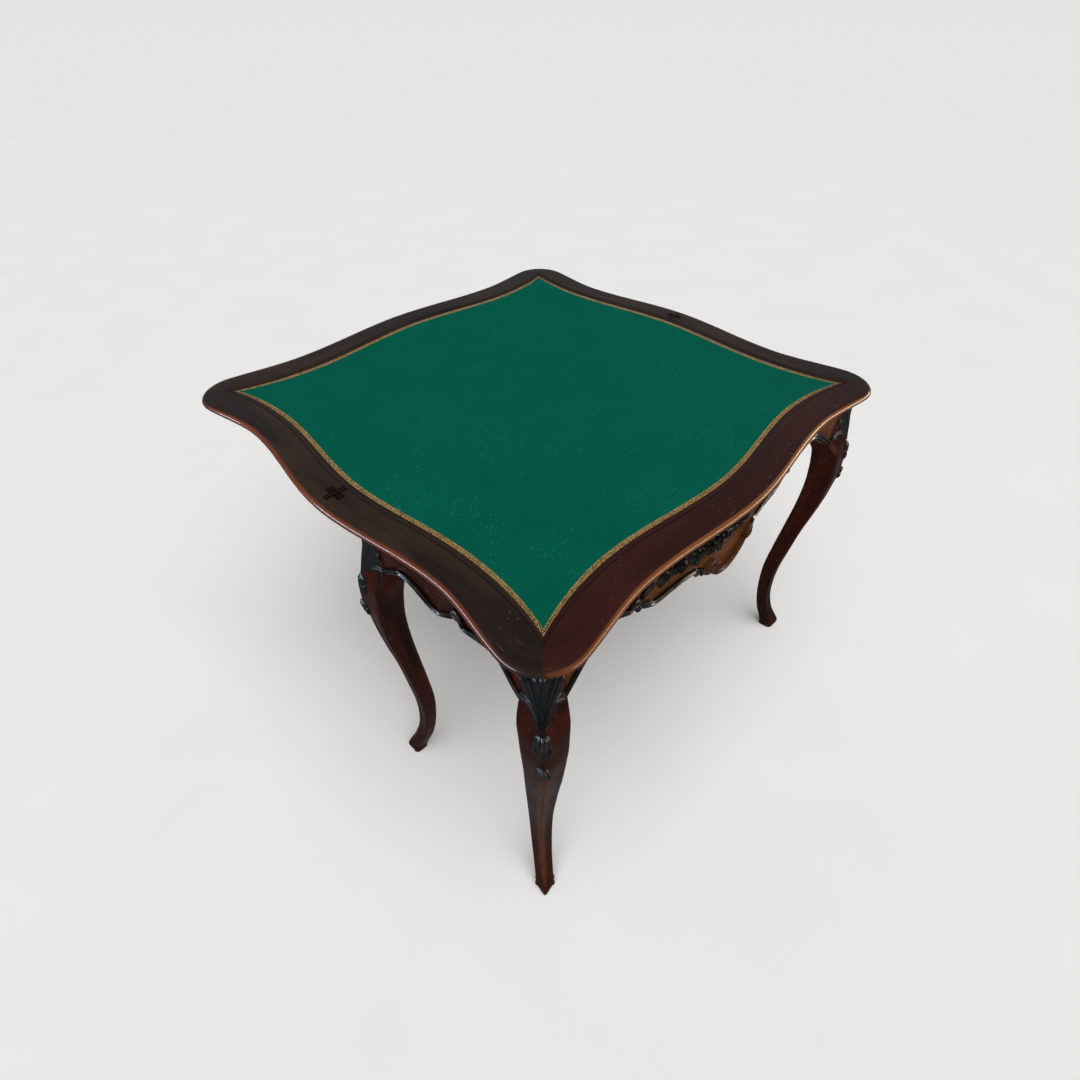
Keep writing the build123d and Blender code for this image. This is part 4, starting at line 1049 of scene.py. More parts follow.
def leg_section(corner, height):
    """Points round one section of a leg in the +X +Y quarter, and how rubbed each one is."""
    top, _, legs = table_settings()
    full = top.height - top.thickness
    level = height / full
    throw = hypot(legs.throw_x, legs.throw_y)
    ridge = throw * smooth_table(LEG_HEIGHT_SHARES, LEG_RIDGE_SHARES, level)
    if corner.startswith("front"):
        ridge -= legs.toe_reach * (1 - eased(0.0, TOE_REACH_SHARE, level))
    inner = throw * smooth_table(LEG_HEIGHT_SHARES, LEG_INNER_SHARES, level)
    half = throw * smooth_table(LEG_HEIGHT_SHARES, LEG_HALF_WIDTH_SHARES, level)
    spread = 1 - CORNER_ROUND_SHARE / 2
    along, across = (inner - ridge) / 2 / spread, half / spread
    middle = (ridge + inner) / 2
    centre = toe_place(corner) - Vector((legs.throw_x, legs.throw_y, 0)) * (middle / throw)
    corners = [centre + OUT * along, centre + ACROSS * across, centre - OUT * along, centre - ACROSS * across]
    blend = eased(*POST_BLEND, height)
    for index, post in enumerate(post_corners(corner)):
        corners[index + 1] = corners[index + 1].lerp(post, blend)
    rounds = [CORNER_ROUND_SHARE] + [CORNER_ROUND_SHARE + (POST_ROUND_SHARE - CORNER_ROUND_SHARE) * blend] * 3
    bead = eased(BEAD_LEVEL_SHARES[0], BEAD_LEVEL_SHARES[1], level)
    bead *= 1 - eased(BEAD_LEVEL_SHARES[2], BEAD_LEVEL_SHARES[3], level)
    steps = legs.around // 8
    points, rubbed = [], []
    for index in range(4):
        here, before, after = corners[index], corners[index - 1], corners[(index + 1) % 4]
        into = here.lerp(before, rounds[index])
        out = here.lerp(after, rounds[index])
        for step in range(steps + 1):
            t = step / steps
            points.append((1 - t)**2 * into + 2 * t * (1 - t) * here + t * t * out)
            rubbed.append(RIDGE_RUBBED + RIDGE_BEAD_RUBBED * bead if index == 0 else CORNER_RUBBED)
        next_into = after.lerp(here, rounds[(index + 1) % 4])
        side = (next_into - out).normalized()
        outward = Vector((side.y, -side.x, 0))
        span = (next_into - out).length
        offsets = [(span * step / steps, 0.0) for step in range(1, steps)]
        if index in (0, 3):
            start = 0.0 if index == 0 else span - legs.bead_width
            offsets += [(start + legs.bead_width * step / BEAD_STEPS, sin(pi * step / BEAD_STEPS))
                        for step in range(1, BEAD_STEPS)]
        for distance, swell in sorted(offsets):
            hollow = BEAD_HOLLOW_SHARE * span * sin(pi * min(distance / span, 1.0)) * (1 - blend) * bead
            points.append(out + side * distance + outward * (swell * bead * legs.bead_relief - hollow))
            ridge_side = distance if index == 0 else span - distance if index == 3 else span
            paler = PALER_RUBBED * bead * (1 - eased(*[share * span for share in PALER_SHARES], ridge_side))
            rubbed.append(max(BEAD_RUBBED * bead * swell, paler, FLANK_RUBBED))
    return [Vector((point.x, point.y, height)) for point in points], rubbed


def leg_mesh(corner):
    """Rows of one leg in the +X +Y quarter, with how rubbed each point is."""
    top, _, legs = table_settings()
    full = top.height - top.thickness
    levels = np.interp(np.linspace(0.0, 1.0, legs.levels), (0.0, FOOT_LEVELS[0], 1.0), (0.0, FOOT_LEVELS[1], 1.0))
    rows, wear = [], []
    last = full - (GATE_PLAY if corner == "gate" else 0.0)
    for level in levels:
        points, rubbed = leg_section(corner, min(level * full, last))
        rows.append([tuple(point) for point in points])
        wear += rubbed
    return np.array(rows), wear


def moved(points, matrix):
    """Points turned by a matrix, as an array."""
    turn = np.array(matrix.to_3x3())
    return np.asarray(points, float) @ turn.T + np.array(matrix.translation)


def leg_piece(corner, body):
    """One polished cabriole leg with its post and the small scrolls on both sides of its toe."""
    radius = bpy.context.scene.card_table_legs.toe_scroll
    rows, wear = leg_mesh(corner)
    leg = Carving()
    leg.add(*loft_rows(rows), wear)
    for sign in (-1, 1):
        for share_up, share_in, size in TOE_SCROLL_SHARES:
            points = leg_section(corner, share_up * radius)[0]
            side = max(points, key=lambda point: sign * point.dot(ACROSS))
            centre = side - ACROSS * (sign * TOE_SCROLL_SINK * radius * size) - OUT * (share_in * radius)
            verts, faces = pebble(centre, ACROSS * sign, OUT, radius * size)
            leg.add(verts, faces, [TOE_SCROLL_RUBBED] * len(verts))
    leg.verts = moved(leg.verts, quarter_to_table(corner))
    return leg.finished(corner + "_cabriole_leg", "leg_wood", body, "polished_wood", corner + "_leg", sharp=42.0)


def pebble(centre, outward, forward, radius, around=14, levels=8):
    """A rounded boss, flattened along the direction that it stands out in."""
    upward = Vector((0, 0, 1))
    rows = []
    for lift in np.linspace(-0.999, 0.999, levels + 1):
        reach = radius * (1 - lift * lift) ** 0.5
        middle = centre + outward * (0.75 * radius * lift)
        rows.append([tuple(middle + (forward * cos(turn) + upward * sin(turn)) * reach)
                     for turn in (tau * index / around for index in range(around))])
    return loft_rows(rows)


KNEE_LEAN = 0.55  # share of the surface's own normal in the way that carving stands out
KNEE_AXIS_SHARE = 1.6  # shares of the throw from the toe in to the line that a knee's heights are seen from
RAY_REACH = 200.0 * MM


def knee_surface(corner):
    """A function that gives the point at (across, height, relief) on the outer side of a knee."""
    verts, faces = loft_rows(leg_mesh(corner)[0])
    tree = BVHTree.FromPolygons([tuple(vert) for vert in verts], faces)
    top, _, legs = table_settings()
    origin = toe_place(corner) - Vector((legs.throw_x, legs.throw_y, 0)) * KNEE_AXIS_SHARE
    ceiling = top.height - top.thickness - 0.5 * MM
    matrix = quarter_to_table(corner)

    def place(across, height, relief):
        start = origin + ACROSS * across + OUT * RAY_REACH
        start.z = min(height, ceiling)
        hit, normal = tree.ray_cast(start, -OUT)[:2]
        if hit is None:
            hit, normal = tree.find_nearest(start - OUT * RAY_REACH)[:2]
        lean = (normal * KNEE_LEAN + OUT * (1 - KNEE_LEAN)).normalized()
        return tuple(matrix @ (hit + (OUT if lean.dot(OUT) < 0 else lean) * relief))
    return place


# Ebonised acanthus leaves and husks

ACANTHUS_BLADES = (  # (across, height share) from stem to tip, half width, relief share, curl; from back to front
    (((1.0, 0.04), (9.0, 0.16), (18.5, 0.24), (27.5, 0.14)), 5.2, 0.80, 1.00),
    (((1.0, 0.08), (9.0, 0.32), (19.0, 0.52), (28.0, 0.54)), 6.0, 0.90, 0.80),
    (((1.0, 0.15), (6.0, 0.42), (13.0, 0.68), (21.0, 0.80)), 5.0, 1.05, 0.50))
ACANTHUS_BED = (  # height share, half width
    (0.0, 2.0), (0.06, 4.5), (0.14, 9.5), (0.24, 15.0), (0.36, 18.5), (0.50, 20.0), (0.66, 19.0), (0.82, 16.0),
    (1.0, 12.0))
ACANTHUS_KNOBS = ((-7.5, 6.5, 0.9), (7.5, 6.5, 0.9), (0.0, 5.0, 1.1))  # across, half width, size of the crown's folds
HUSK_PLACES = ((598.0, 58.0, 0.92), (534.0, 40.0, 0.78))  # head, length, size
HUSK_HALVES = (  # share of the length, share of the half width
    (0.0, 0.25), (0.04, 0.62), (0.11, 0.90), (0.22, 1.0), (0.36, 0.90), (0.50, 0.62), (0.75, 0.40), (1.0, 0.08))

HUSK_SWELL = ((0.0, 0.10, 0.35, 1.0), (0.25, 1.0, 0.85, 0.4))  # shares of the length, shares of the relief


def blade_profile(t, along):
    """A hollow-ground blade with a fine rib."""
    rounded = max(1 - abs(t) ** 6, 0.0) ** 0.5
    rib = 0.50 * np.exp(-(t / 0.10) ** 2)
    return rounded * (0.48 + 0.16 * t * t) + rib


def curled(height, start, curl):
    """Relief along a blade, swelling to its curled tip and then falling."""
    def at(along):
        tip = curl * np.exp(-((along - 0.90) / 0.10) ** 2)
        return height * (start + (0.8 - start) * along + tip) * (1 - 0.55 * max(along - 0.96, 0) / 0.04)
    return at


def knob(carving, place, across, height, half_across, half_up, relief, rubbed=None):
    """A solid rounded boss laid on a surface."""
    path = np.column_stack((np.full(13, across), np.linspace(height - half_up, height + half_up, 13)))

    def round_off(along):
        return max(1 - (2 * along - 1) ** 2, 0.03) ** 0.5
    carving.stroke(place, relief, path, lambda along: half_across * round_off(along),
                   lambda along: relief * round_off(along), dome, rubbed=rubbed)


def acanthus_piece(corner, body, place):
    """Spreading leaf on a knee: a bed, a fan of long blades with curled tips and a folded-over crown."""
    top, _, legs = table_settings()
    crown = top.height - top.thickness - 2.0 * MM
    reach, relief = legs.acanthus_length, legs.acanthus_relief
    foot = crown - reach
    carving = Carving()
    shares, halves = zip(*ACANTHUS_BED)
    bed = np.column_stack((np.zeros(30), np.linspace(foot, crown, 30)))
    carving.stroke(place, relief, bed, lambda along: np.interp(along, shares, halves) * MM,
                   lambda along: 0.22 * relief, lambda t, along: max(1 - abs(t) ** 8, 0.0) ** 0.5, across=40)
    for points, half_width, relief_share, curl in ACANTHUS_BLADES:
        for sign in (-1, 1):
            path = smooth_path([(sign * across * MM, foot + reach * share) for across, share in points], 10)
            carving.stroke(place, relief, path, tapered(half_width * MM, 0.22, 0.66, 0.50),
                           curled(relief * relief_share, 0.45, curl), blade_profile)
    spine = smooth_path([(0.0, foot - 2.0 * MM), (0.0, foot + 0.5 * reach), (0.0, crown)], 14)
    carving.stroke(place, relief, spine, tapered(3.2 * MM, 0.40, 0.60, 0.70), curled(1.08 * relief, 0.55, 0.15),
                   blade_profile)
    for across, half, size in ACANTHUS_KNOBS:
        knob(carving, place, across * MM, crown - 12.0 * MM, half * MM, 7.5 * MM * size, 1.30 * relief, 0.2)
    return carving.finished(corner + "_carved_acanthus", "ebonised", body, "ebonised_wood", corner + "_acanthus")


def husks_piece(corner, body, place):
    """Two fluted husks down the ridge of a knee, each with a rounded head and a small leaf on each side."""
    legs = bpy.context.scene.card_table_legs
    relief = legs.husk_relief
    carving = Carving()
    shares, halves = zip(*HUSK_HALVES)
    for head, long, size in HUSK_PLACES:
        half = legs.husk_width / 2 * size
        path = np.column_stack((np.zeros(34), np.linspace(head, head - long, 34) * MM))
        carving.stroke(place, 1.4 * relief, path, lambda along: half * np.interp(along, shares, halves),
                       lambda along: 1.25 * relief * np.interp(along, *HUSK_SWELL), fluted, across=36)
        for sign in (-1, 1):
            knob(carving, place, sign * 0.82 * half, (head - 0.50 * long) * MM, 0.34 * half, 0.20 * long * MM,
                 0.85 * relief, 0.0)
    return carving.finished(corner + "_carved_husks", "ebonised", body, "ebonised_wood", corner + "_husks")


# Mouldings under the aprons, as shares like those of the aprons' own lower edges

FRONT_RUN_SHARES = (  # share of the half length, share of the drop
    ((0.6035, 0.541), (0.631, 0.576), (0.695, 0.488), (0.758, 0.424), (0.833, 0.453), (0.909, 0.564), (1.0, 0.715),
     (1.014, 0.735)),
    ((0.232, 0.703), (0.311, 0.686), (0.394, 0.709), (0.477, 0.727), (0.543, 0.663), (0.6035, 0.541)),
    ((0.1465, 0.808), (0.172, 0.773), (0.199, 0.797), (0.232, 0.703)))
FRONT_SCROLL_SHARES = (  # share of the half length and of the drop, size, way that it winds
    ((0.176, 0.80), 0.85, -1), ((0.6035, 0.541), 0.95, 1), ((0.585, 0.62), 0.6, -1))
LOBE_SHARES = ((0.0, 1.0), (0.076, 0.96), (0.126, 0.872), (0.1465, 0.808))
SIDE_RUN_SHARES = (  # share of the length from the rear post, share of the drop
    ((0.0, 0.857), (0.071, 0.754), (0.146, 0.698), (0.243, 0.841), (0.294, 0.944), (0.366, 1.0), (0.463, 0.889),
     (0.511, 0.794)),
    ((0.511, 0.794), (0.544, 0.913), (0.579, 0.913), (0.663, 0.841), (0.773, 0.730), (0.832, 0.698),
     (0.883, 0.762), (0.951, 0.905), (1.0, 0.975), (1.018, 0.99)))


MOULDING_STOP_SHARES = {"left": 0.35, "right": 1.8}  # of the width; the gate leg's knee closes beside the right one


def face_surface(side):
    """A function that gives the point at (along, height, relief) on an apron's face."""
    line = apron_line(side)
    along_line, out_line = line[np.argsort(line[:, 0])].T

    def place(along, height, relief):
        return on_side(side, along, float(np.interp(along, along_line, out_line)) + relief, height)
    return place


def front_point(along, drop):
    """A place on the front apron's face, from shares of its half length and of its drop."""
    top, base = table_settings()[:2]
    return (top.corner_x - base.inset - base.post_width) * along, top.height - base.front_drop * drop


def edge_run(points, width, steps=10):
    """Centre line of a moulding that lies just inside a shaped lower edge."""
    path = evenly(smooth_path(points, steps), len(points) * steps)
    lift = normals_of(path)
    lift[lift[:, 1] < 0] *= -1
    return path + lift * (width / 2)


def run_along(carving, place, path, width, relief):
    """A channelled moulding with blunt rounded ends along a centre line."""
    def round_off(along):
        end = min(along, 1 - along) / 0.035
        return max(1 - (1 - min(end, 1.0)) ** 2, 0.06) ** 0.5
    carving.stroke(place, relief, path, lambda along: width / 2 * round_off(along),
                   lambda along: relief * round_off(along) * (0.80 + 0.20 * sin(pi * along)), channel, across=20)


def scroll(carving, place, centre, radius, sign, width, relief, turns=1.35):
    """A volute that winds in from its lowest point, with a round eye."""
    angles = np.linspace(0.0, turns * tau, 44)
    reach = radius * (1 - 0.62 * angles / angles[-1])
    path = np.column_stack((centre[0] + sign * reach * np.sin(angles), centre[1] - reach * np.cos(angles)))
    carving.stroke(place, relief, path, lambda along: width * (0.44 - 0.22 * along),
                   lambda along: relief * (0.85 + 0.25 * along), dome, across=10)
    knob(carving, place, centre[0], centre[1], 0.30 * radius, 0.30 * radius, 1.15 * relief)


def front_moulding_piece():
    """Channelled moulding along the front apron's lower edge, with scrolls beside the lobes."""
    base = bpy.context.scene.card_table_frame
    width, relief = base.moulding_width, base.moulding_relief
    place = face_surface("front")
    carving = Carving()
    for run in FRONT_RUN_SHARES:
        for sign in (-1, 1):
            path = edge_run([front_point(sign * along, drop) for along, drop in run], width)
            run_along(carving, place, path, width, relief)
    radius = base.volute_radius
    for (along, drop), size, wind in FRONT_SCROLL_SHARES:
        for sign in (-1, 1):
            x, z = front_point(sign * along, drop)
            scroll(carving, place, (x, z + radius * size), radius * size, sign * wind, width * size, 1.15 * relief)
    carving.finished("front_apron_moulding", "moulding", "base", "ebonised_wood", "front_moulding")
    middle = Carving()
    lobe = [front_point(-along, drop) for along, drop in LOBE_SHARES[:0:-1]]
    lobe += [front_point(along, drop) for along, drop in LOBE_SHARES]
    width = base.lobe_width
    middle.stroke(place, relief, edge_run(lobe, width), lambda along: width / 2, lambda along: 1.5 * relief, channel,
                  across=24)
    for sign in (-1, 1):
        x, z = front_point(sign * LOBE_SHARES[-1][0], LOBE_SHARES[-1][1])
        scroll(middle, place, (x, z + base.lobe_volute), base.lobe_volute, sign, width, 1.8 * relief)
    middle.finished("front_lobe_moulding", "lobe_wood", "base", "polished_wood")


def side_moulding_piece(side):
    """Channelled moulding along a side apron's lower edge, with a scroll where its two waves meet."""
    top, base = table_settings()[:2]
    rear = base.back_face - base.post_depth
    span = rear + (top.corner_y - base.inset - base.post_depth)
    width, relief = base.moulding_width, base.moulding_relief
    stop = width * MOULDING_STOP_SHARES[side]
    place = face_surface(side)
    carving = Carving()

    def point(share):
        return (rear - span * share[0], top.height - base.side_drop * share[1])

    for run in SIDE_RUN_SHARES:
        path = edge_run([point(share) for share in run], width)
        path[:, 0] = np.minimum(path[:, 0], rear - stop)
        run_along(carving, place, path, width, relief)
    radius = base.volute_radius
    along, height = point(SIDE_RUN_SHARES[0][-1])
    scroll(carving, place, (along, height + radius), radius, -1, width, 1.15 * relief)
    carving.finished(side + "_apron_moulding", "moulding", "base", "ebonised_wood", side + "_moulding")


# Garland on the front apron, placed by shares of the half length and of the drop

ROSE_SHARES = (-0.17, 0.36)
FLOWER_SHARES = (  # along, drop, size
    (-0.455, 0.31, 0.95), (-0.40, 0.38, 0.80), (-0.35, 0.31, 1.0), (-0.285, 0.28, 0.90), (-0.265, 0.40, 0.85),
    (-0.235, 0.29, 0.75), (-0.105, 0.29, 0.95), (-0.09, 0.40, 0.75), (-0.04, 0.32, 0.85), (0.01, 0.27, 0.9),
    (0.05, 0.33, 0.65), (0.095, 0.26, 0.80), (0.16, 0.27, 0.65), (0.235, 0.23, 0.65))
SPRAY_SHARES = (  # along, drop of the middle, length of the leaves that stand up and hang down
    (-0.53, 0.27, 0.65), (-0.48, 0.31, 0.75), (-0.40, 0.32, 0.80), (-0.28, 0.34, 0.80), (-0.16, 0.36, 0.85),
    (0.0, 0.31, 0.80), (0.15, 0.27, 0.70), (0.33, 0.24, 0.55))
TIP_SHARES = (  # along, drop, turn in degrees, size
    (-0.515, 0.27, 186, 1.1), (-0.50, 0.34, 222, 1.05), (-0.485, 0.23, 165, 0.8), (-0.44, 0.37, 245, 0.75),
    (-0.32, 0.38, 246, 0.80), (-0.245, 0.43, 270, 0.75), (-0.12, 0.45, 290, 0.75), (0.29, 0.25, 350, 1.0),
    (0.02, 0.37, 285, 0.70), (0.14, 0.31, 300, 0.65))
PETAL_RINGS = (  # outer share of the radius, inner share, petals, half-width share, relief share, turn share
    (1.0, 0.35, 6, 0.36, 0.60, 0.0), (0.78, 0.22, 5, 0.33, 0.80, 0.3), (0.54, 0.12, 5, 0.25, 0.95, 0.7),
    (0.32, 0.02, 3, 0.19, 1.05, 0.2))


PETAL_BOW = 0.16  # turn of a petal's middle past its ends


def petal_profile(t, along):
    """A cupped petal with rolled edges."""
    rounded = max(1 - abs(t) ** 6, 0.0) ** 0.5
    return rounded * (0.62 + 0.38 * t * t)


def petal_relief(height, inner):
    """Relief along a petal: low at the heart, high at its rolled lip, then turned down."""
    def at(along):
        lip = np.exp(-((along - 0.84) / 0.16) ** 2)
        return height * (inner + (1 - inner) * lip) * (1 - 0.45 * eased(0.93, 1.0, along))
    return at


def blossom(carving, place, centre, radius, relief, rings, turn):
    """Rings of cupped petals about a heart."""
    for outer, inner, count, half, height, ring_turn in rings:
        for index in range(count):
            lean = turn + tau * (index + ring_turn) / count
            points = [(centre[0] + radius * share * cos(way), centre[1] + radius * share * sin(way))
                      for share, way in ((inner, lean), (0.6 * (inner + outer), lean + PETAL_BOW), (outer, lean))]
            carving.stroke(place, relief, smooth_path(points, 6), tapered(radius * half, 0.45, 0.62, 0.42),
                           petal_relief(relief * height, 0.62), petal_profile, across=8)


def toothed(width, teeth):
    """Half widths along a leaf with a notched margin."""
    plain = tapered(width, 0.30, 0.45, 0.06)

    def at(along):
        notch = 1 - 0.24 * abs(sin(teeth * pi * along)) ** 0.6
        return plain(along) * notch
    return at


def garland_pieces():
    """Rose, flower heads and leaf sprays carved on the front apron."""
    top = bpy.context.scene.card_table_top
    garland = bpy.context.scene.card_table_garland
    place = face_surface("front")
    random = np.random.default_rng(garland.seed)
    ceiling = top.height - top.thickness - 1.0 * MM

    def under_top(along, height, relief):
        return place(along, min(height, ceiling), relief)

    rose = Carving()
    blossom(rose, under_top, front_point(*ROSE_SHARES), garland.rose_radius, garland.rose_relief, PETAL_RINGS, 0.35)
    rose.finished("carved_rose", "ebonised", "base", "ebonised_wood", "garland_rose")
    flowers = Carving()
    for along, drop, size in FLOWER_SHARES:
        turn = random.uniform(0, tau)
        blossom(flowers, under_top, front_point(along, drop), garland.flower_radius * size, garland.flower_relief,
                PETAL_RINGS[0:1] + PETAL_RINGS[2:], turn)
    flowers.finished("carved_flowers", "ebonised", "base", "ebonised_wood", "garland_flowers")
    leaves = Carving()
    places = [(along, drop, radians(turn), size) for along, drop, turn, size in TIP_SHARES]
    alongs, middles, sizes = zip(*SPRAY_SHARES)
    for along in np.linspace(alongs[0], alongs[-1], garland.sprays):
        middle, size = np.interp(along, alongs, middles), np.interp(along, alongs, sizes)
        for sign in (-1, 1):
            turn = -sign * (pi / 2 + random.uniform(-0.75, 0.75))
            places.append((along, middle + 0.045 * sign * size, turn, size * random.uniform(0.72, 0.95)))
        places.append((along, middle + random.uniform(-0.06, 0.06), random.uniform(0, tau), 0.62 * size))
    for along, drop, turn, size in places:
        x, z = front_point(along, drop)
        bend = turn + random.uniform(-0.4, 0.4)
        reach = garland.leaf_length * size
        path = smooth_path([(x, z), (x + 0.5 * reach * cos(bend), z + 0.5 * reach * sin(bend)),
                            (x + reach * cos(turn), z + reach * sin(turn))], 12)
        relief = garland.leaf_relief * random.uniform(0.75, 1.15)
        leaves.stroke(under_top, garland.leaf_relief, path, toothed(garland.leaf_width / 2 * size, 4),
                      lambda along: relief * (0.62 + 0.50 * sin(pi * (0.15 + 0.75 * along))), ribbed, across=10)
    leaves.finished("carved_leaves", "ebonised", "base", "ebonised_wood", "garland_leaves")


# Screws

SCREW_GROUPS = (  # CAD node, body, axis, way that the head faces
    ("near_hinge_screws", "base", "Z", 1), ("far_hinge_screws", "far_leaf", "Z", 1),
    ("leaf_screws", "base", "Z", -1), ("rail_screws", "base", "Y", -1))
SCREW_HEAD_SHARES = ((1.0, -0.5), (1.0, -0.07), (0.93, -0.03), (0.5, 0.02))  # out and up, of the head's radius


def screw_template(diameter, slot, axis, sign):
    """A slotted, nearly flush screw head, its top towards the axis's sign."""
    shell = bmesh.new()
    rings = []
    radius = diameter / 2
    for share_out, height in SCREW_HEAD_SHARES:
        rings.append([shell.verts.new((radius * share_out * cos(turn), radius * share_out * sin(turn),
                                       height * radius)) for turn in (tau * index / 20 for index in range(20))])
    for low, high in zip(rings, rings[1:]):
        for index in range(20):
            after = (index + 1) % 20
            shell.faces.new((low[index], low[after], high[after], high[index]))
    shell.faces.new(rings[-1])
    shell.faces.new(rings[0][::-1])
    head = object_from(shell, "screw_head")
    shell = bmesh.new()
    box_mesh(shell, (-radius * 2, -slot / 2, -0.22 * radius), (radius * 2, slot / 2, radius))
    cut(head, object_from(shell, "screw_slot"))
    turn = Matrix.Identity(4) if axis == "Z" else Matrix.Rotation(-pi / 2, 4, "X")
    if sign < 0:
        turn = turn @ Matrix.Rotation(pi, 4, "X")
    head.data.transform(turn)
    return head


def screw_group():
    """One screw head at each point, spun about its own axis by a random amount."""
    group = NodeGroup("screw_heads", Head="Object", Spin="Vector", Seed="Int", Finish="Material")
    start = group.start
    points = group.node("GeometryNodeMeshToPoints", {"Mesh": start["Geometry"]})
    head = group.node("GeometryNodeObjectInfo", {"As Instance": True, "Object": start["Head"]})
    vary = group.node("FunctionNodeRandomValue", {"Seed": start["Seed"]}, data_type="FLOAT")
    spin = group.node("ShaderNodeVectorMath", {0: start["Spin"], "Scale": vary[1]}, operation="SCALE")
    return group.place(points["Points"], head["Geometry"], Rotation=spin["Vector"])


def node_islands(name):
    """Lowest and highest corners of each separate solid of a CAD node."""
    shell = bmesh.new()
    shell.from_mesh(frame["nodes"][name].data)
    bmesh.ops.remove_doubles(shell, verts=shell.verts, dist=0.001 * MM)
    left, islands = set(shell.verts), []
    while left:
        stack, island = [left.pop()], []
        while stack:
            vert = stack.pop()
            island.append(vert.co.copy())
            for edge in vert.link_edges:
                other = edge.other_vert(vert)
                if other in left:
                    left.remove(other)
                    stack.append(other)
        low = Vector([min(point[axis] for point in island) for axis in range(3)])
        high = Vector([max(point[axis] for point in island) for axis in range(3)])
        islands.append((low, high))
    shell.free()
    return sorted(islands, key=lambda box: tuple(box[0]))


def screws_piece(group, node, body, axis, sign):
    """Slotted heads over the screws of one CAD node."""
    tooling = bpy.context.scene.card_table_tooling
    hinge = "hinge" in node
    diameter = tooling.hinge_head if hinge else tooling.frame_head
    axis_index = "XYZ".index(axis)
    places = []
    for low, high in node_islands(node):
        place = (low + high) / 2
        place[axis_index] = high[axis_index] if sign > 0 else low[axis_index]
        places.append([place])
    head = screw_template(diameter, tooling.screw_slot, axis, sign)
    spin = (0.0, 0.0, pi) if axis == "Z" else (0.0, pi, 0.0)
    name = node.replace("screws", "slotted_heads")
    piece = group.run(wire_object("screw_places", places), name, Head=head, Spin=spin, Seed=len(places),
                      Finish=finish_named("brass" if hinge else "steel"))
    bpy.data.objects.remove(head)
    piece.data.shade_smooth()
    piece.data.set_sharp_from_angle(angle=radians(30))
    return settle(piece, body, "brass" if hinge else "steel")


# Floor, lights and camera

SOFT_LIGHTS = (  # name, place, width, power, colour
    ("window", (-2.3, 0.75, 1.45), 2.5, 72.0, (0.58, 0.76, 1.0)),
    ("lamp", (1.7, -2.4, 1.35), 4.2, 75.0, (1.0, 0.80, 0.58)))
SOFT_LIGHT_HEIGHT = 0.42
SOFT_LIGHT_AIM = Vector((0, 0, 0.6))
DAY_COLOUR = (1.0, 0.985, 0.96)
SKY_COLOUR = (0.92, 0.95, 1.0, 1.0)


def soft_light(name, place, width, power, colour):
    """A soft rectangular light aimed at the table, seen in its polish alone."""
    light = bpy.data.lights.new(name, "AREA")
    light.shape = "RECTANGLE"
    light.size, light.size_y = width, SOFT_LIGHT_HEIGHT
    light.energy, light.color = power, colour
    lamp = add_object(name, light)
    lamp.location = place
    lamp.rotation_euler = (SOFT_LIGHT_AIM - Vector(place)).to_track_quat("-Z", "Y").to_euler()
    lamp.visible_diffuse = False


def place_camera(settings):
    """The camera at the photograph's place, level and unshifted."""
    turn, lift = settings.azimuth, settings.elevation
    back = Vector((sin(turn) * cos(lift), -cos(turn) * cos(lift), sin(lift)))
    right = Vector((0, 0, 1)).cross(back).normalized()
    up = back.cross(right)
    camera = bpy.data.cameras.new("view")
    camera.lens = settings.lens
    camera.sensor_width = settings.sensor
    camera.sensor_fit = "HORIZONTAL"
    viewer = add_object("view", camera)
    viewer.matrix_world = Matrix.Translation(settings.camera_place) @ Matrix((right, up, back)).transposed().to_4x4()
    bpy.context.scene.camera = viewer


class CARDTABLE_OT_stage(Operator):
    """Sets the camera, the pale floor and the soft lights"""
    bl_idname = "cardtable.stage"
    bl_label = "Stage"

    def execute(self, context):
        settings = context.scene.card_table_stage
        place_camera(settings)
        half = settings.floor_size / 2
        corners = [(-half, -half, 0), (half, -half, 0), (half, half, 0), (-half, half, 0)]
        floor = new_piece("pale_floor", corners, [(0, 1, 2, 3)], finish_named("pale_floor"), recalculate=False)
        floor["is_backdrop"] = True
        floor.visible_glossy = False
        day = bpy.data.lights.new("day", "SUN")
        day.energy, day.angle, day.color = settings.day_strength, settings.day_spread, DAY_COLOUR
        sky = add_object("day", day)
        sky.rotation_euler = Vector(settings.day_from).to_track_quat("Z", "Y").to_euler()
        sky.visible_glossy = False
        for light in SOFT_LIGHTS:
            soft_light(*light)
        world = bpy.data.worlds.new("studio")
        world.use_nodes = True
        background = world.node_tree.nodes["Background"]
        background.inputs["Color"].default_value = SKY_COLOUR
        background.inputs["Strength"].default_value = settings.sky_strength
        context.scene.view_settings.view_transform = "Standard"
        context.scene.world = world
        return {"FINISHED"}


class CARDTABLE_OT_rims(Operator):
    """Makes the six moulded boards of the rim"""
    bl_idname = "cardtable.rims"
    bl_label = "Rims"

    def execute(self, context):
        for name, side, half, body in (
                ("near_rim_front", "front", 0, "base"), ("far_rim_back", "back", 0, "far_leaf"),
                ("near_rim_left", "left", -1, "base"), ("near_rim_right", "right", -1, "base"),
                ("far_rim_left", "left", 1, "far_leaf"), ("far_rim_right", "right", 1, "far_leaf")):
            rim_piece(name, side, half, body)
        return {"FINISHED"}


class CARDTABLE_OT_baize(Operator):
    """Lays the baize of both leaves"""
    bl_idname = "cardtable.baize"
    bl_label = "Baize"

    def execute(self, context):
        baize_piece("near", -1, "base")
        baize_piece("far", 1, "far_leaf")
        return {"FINISHED"}


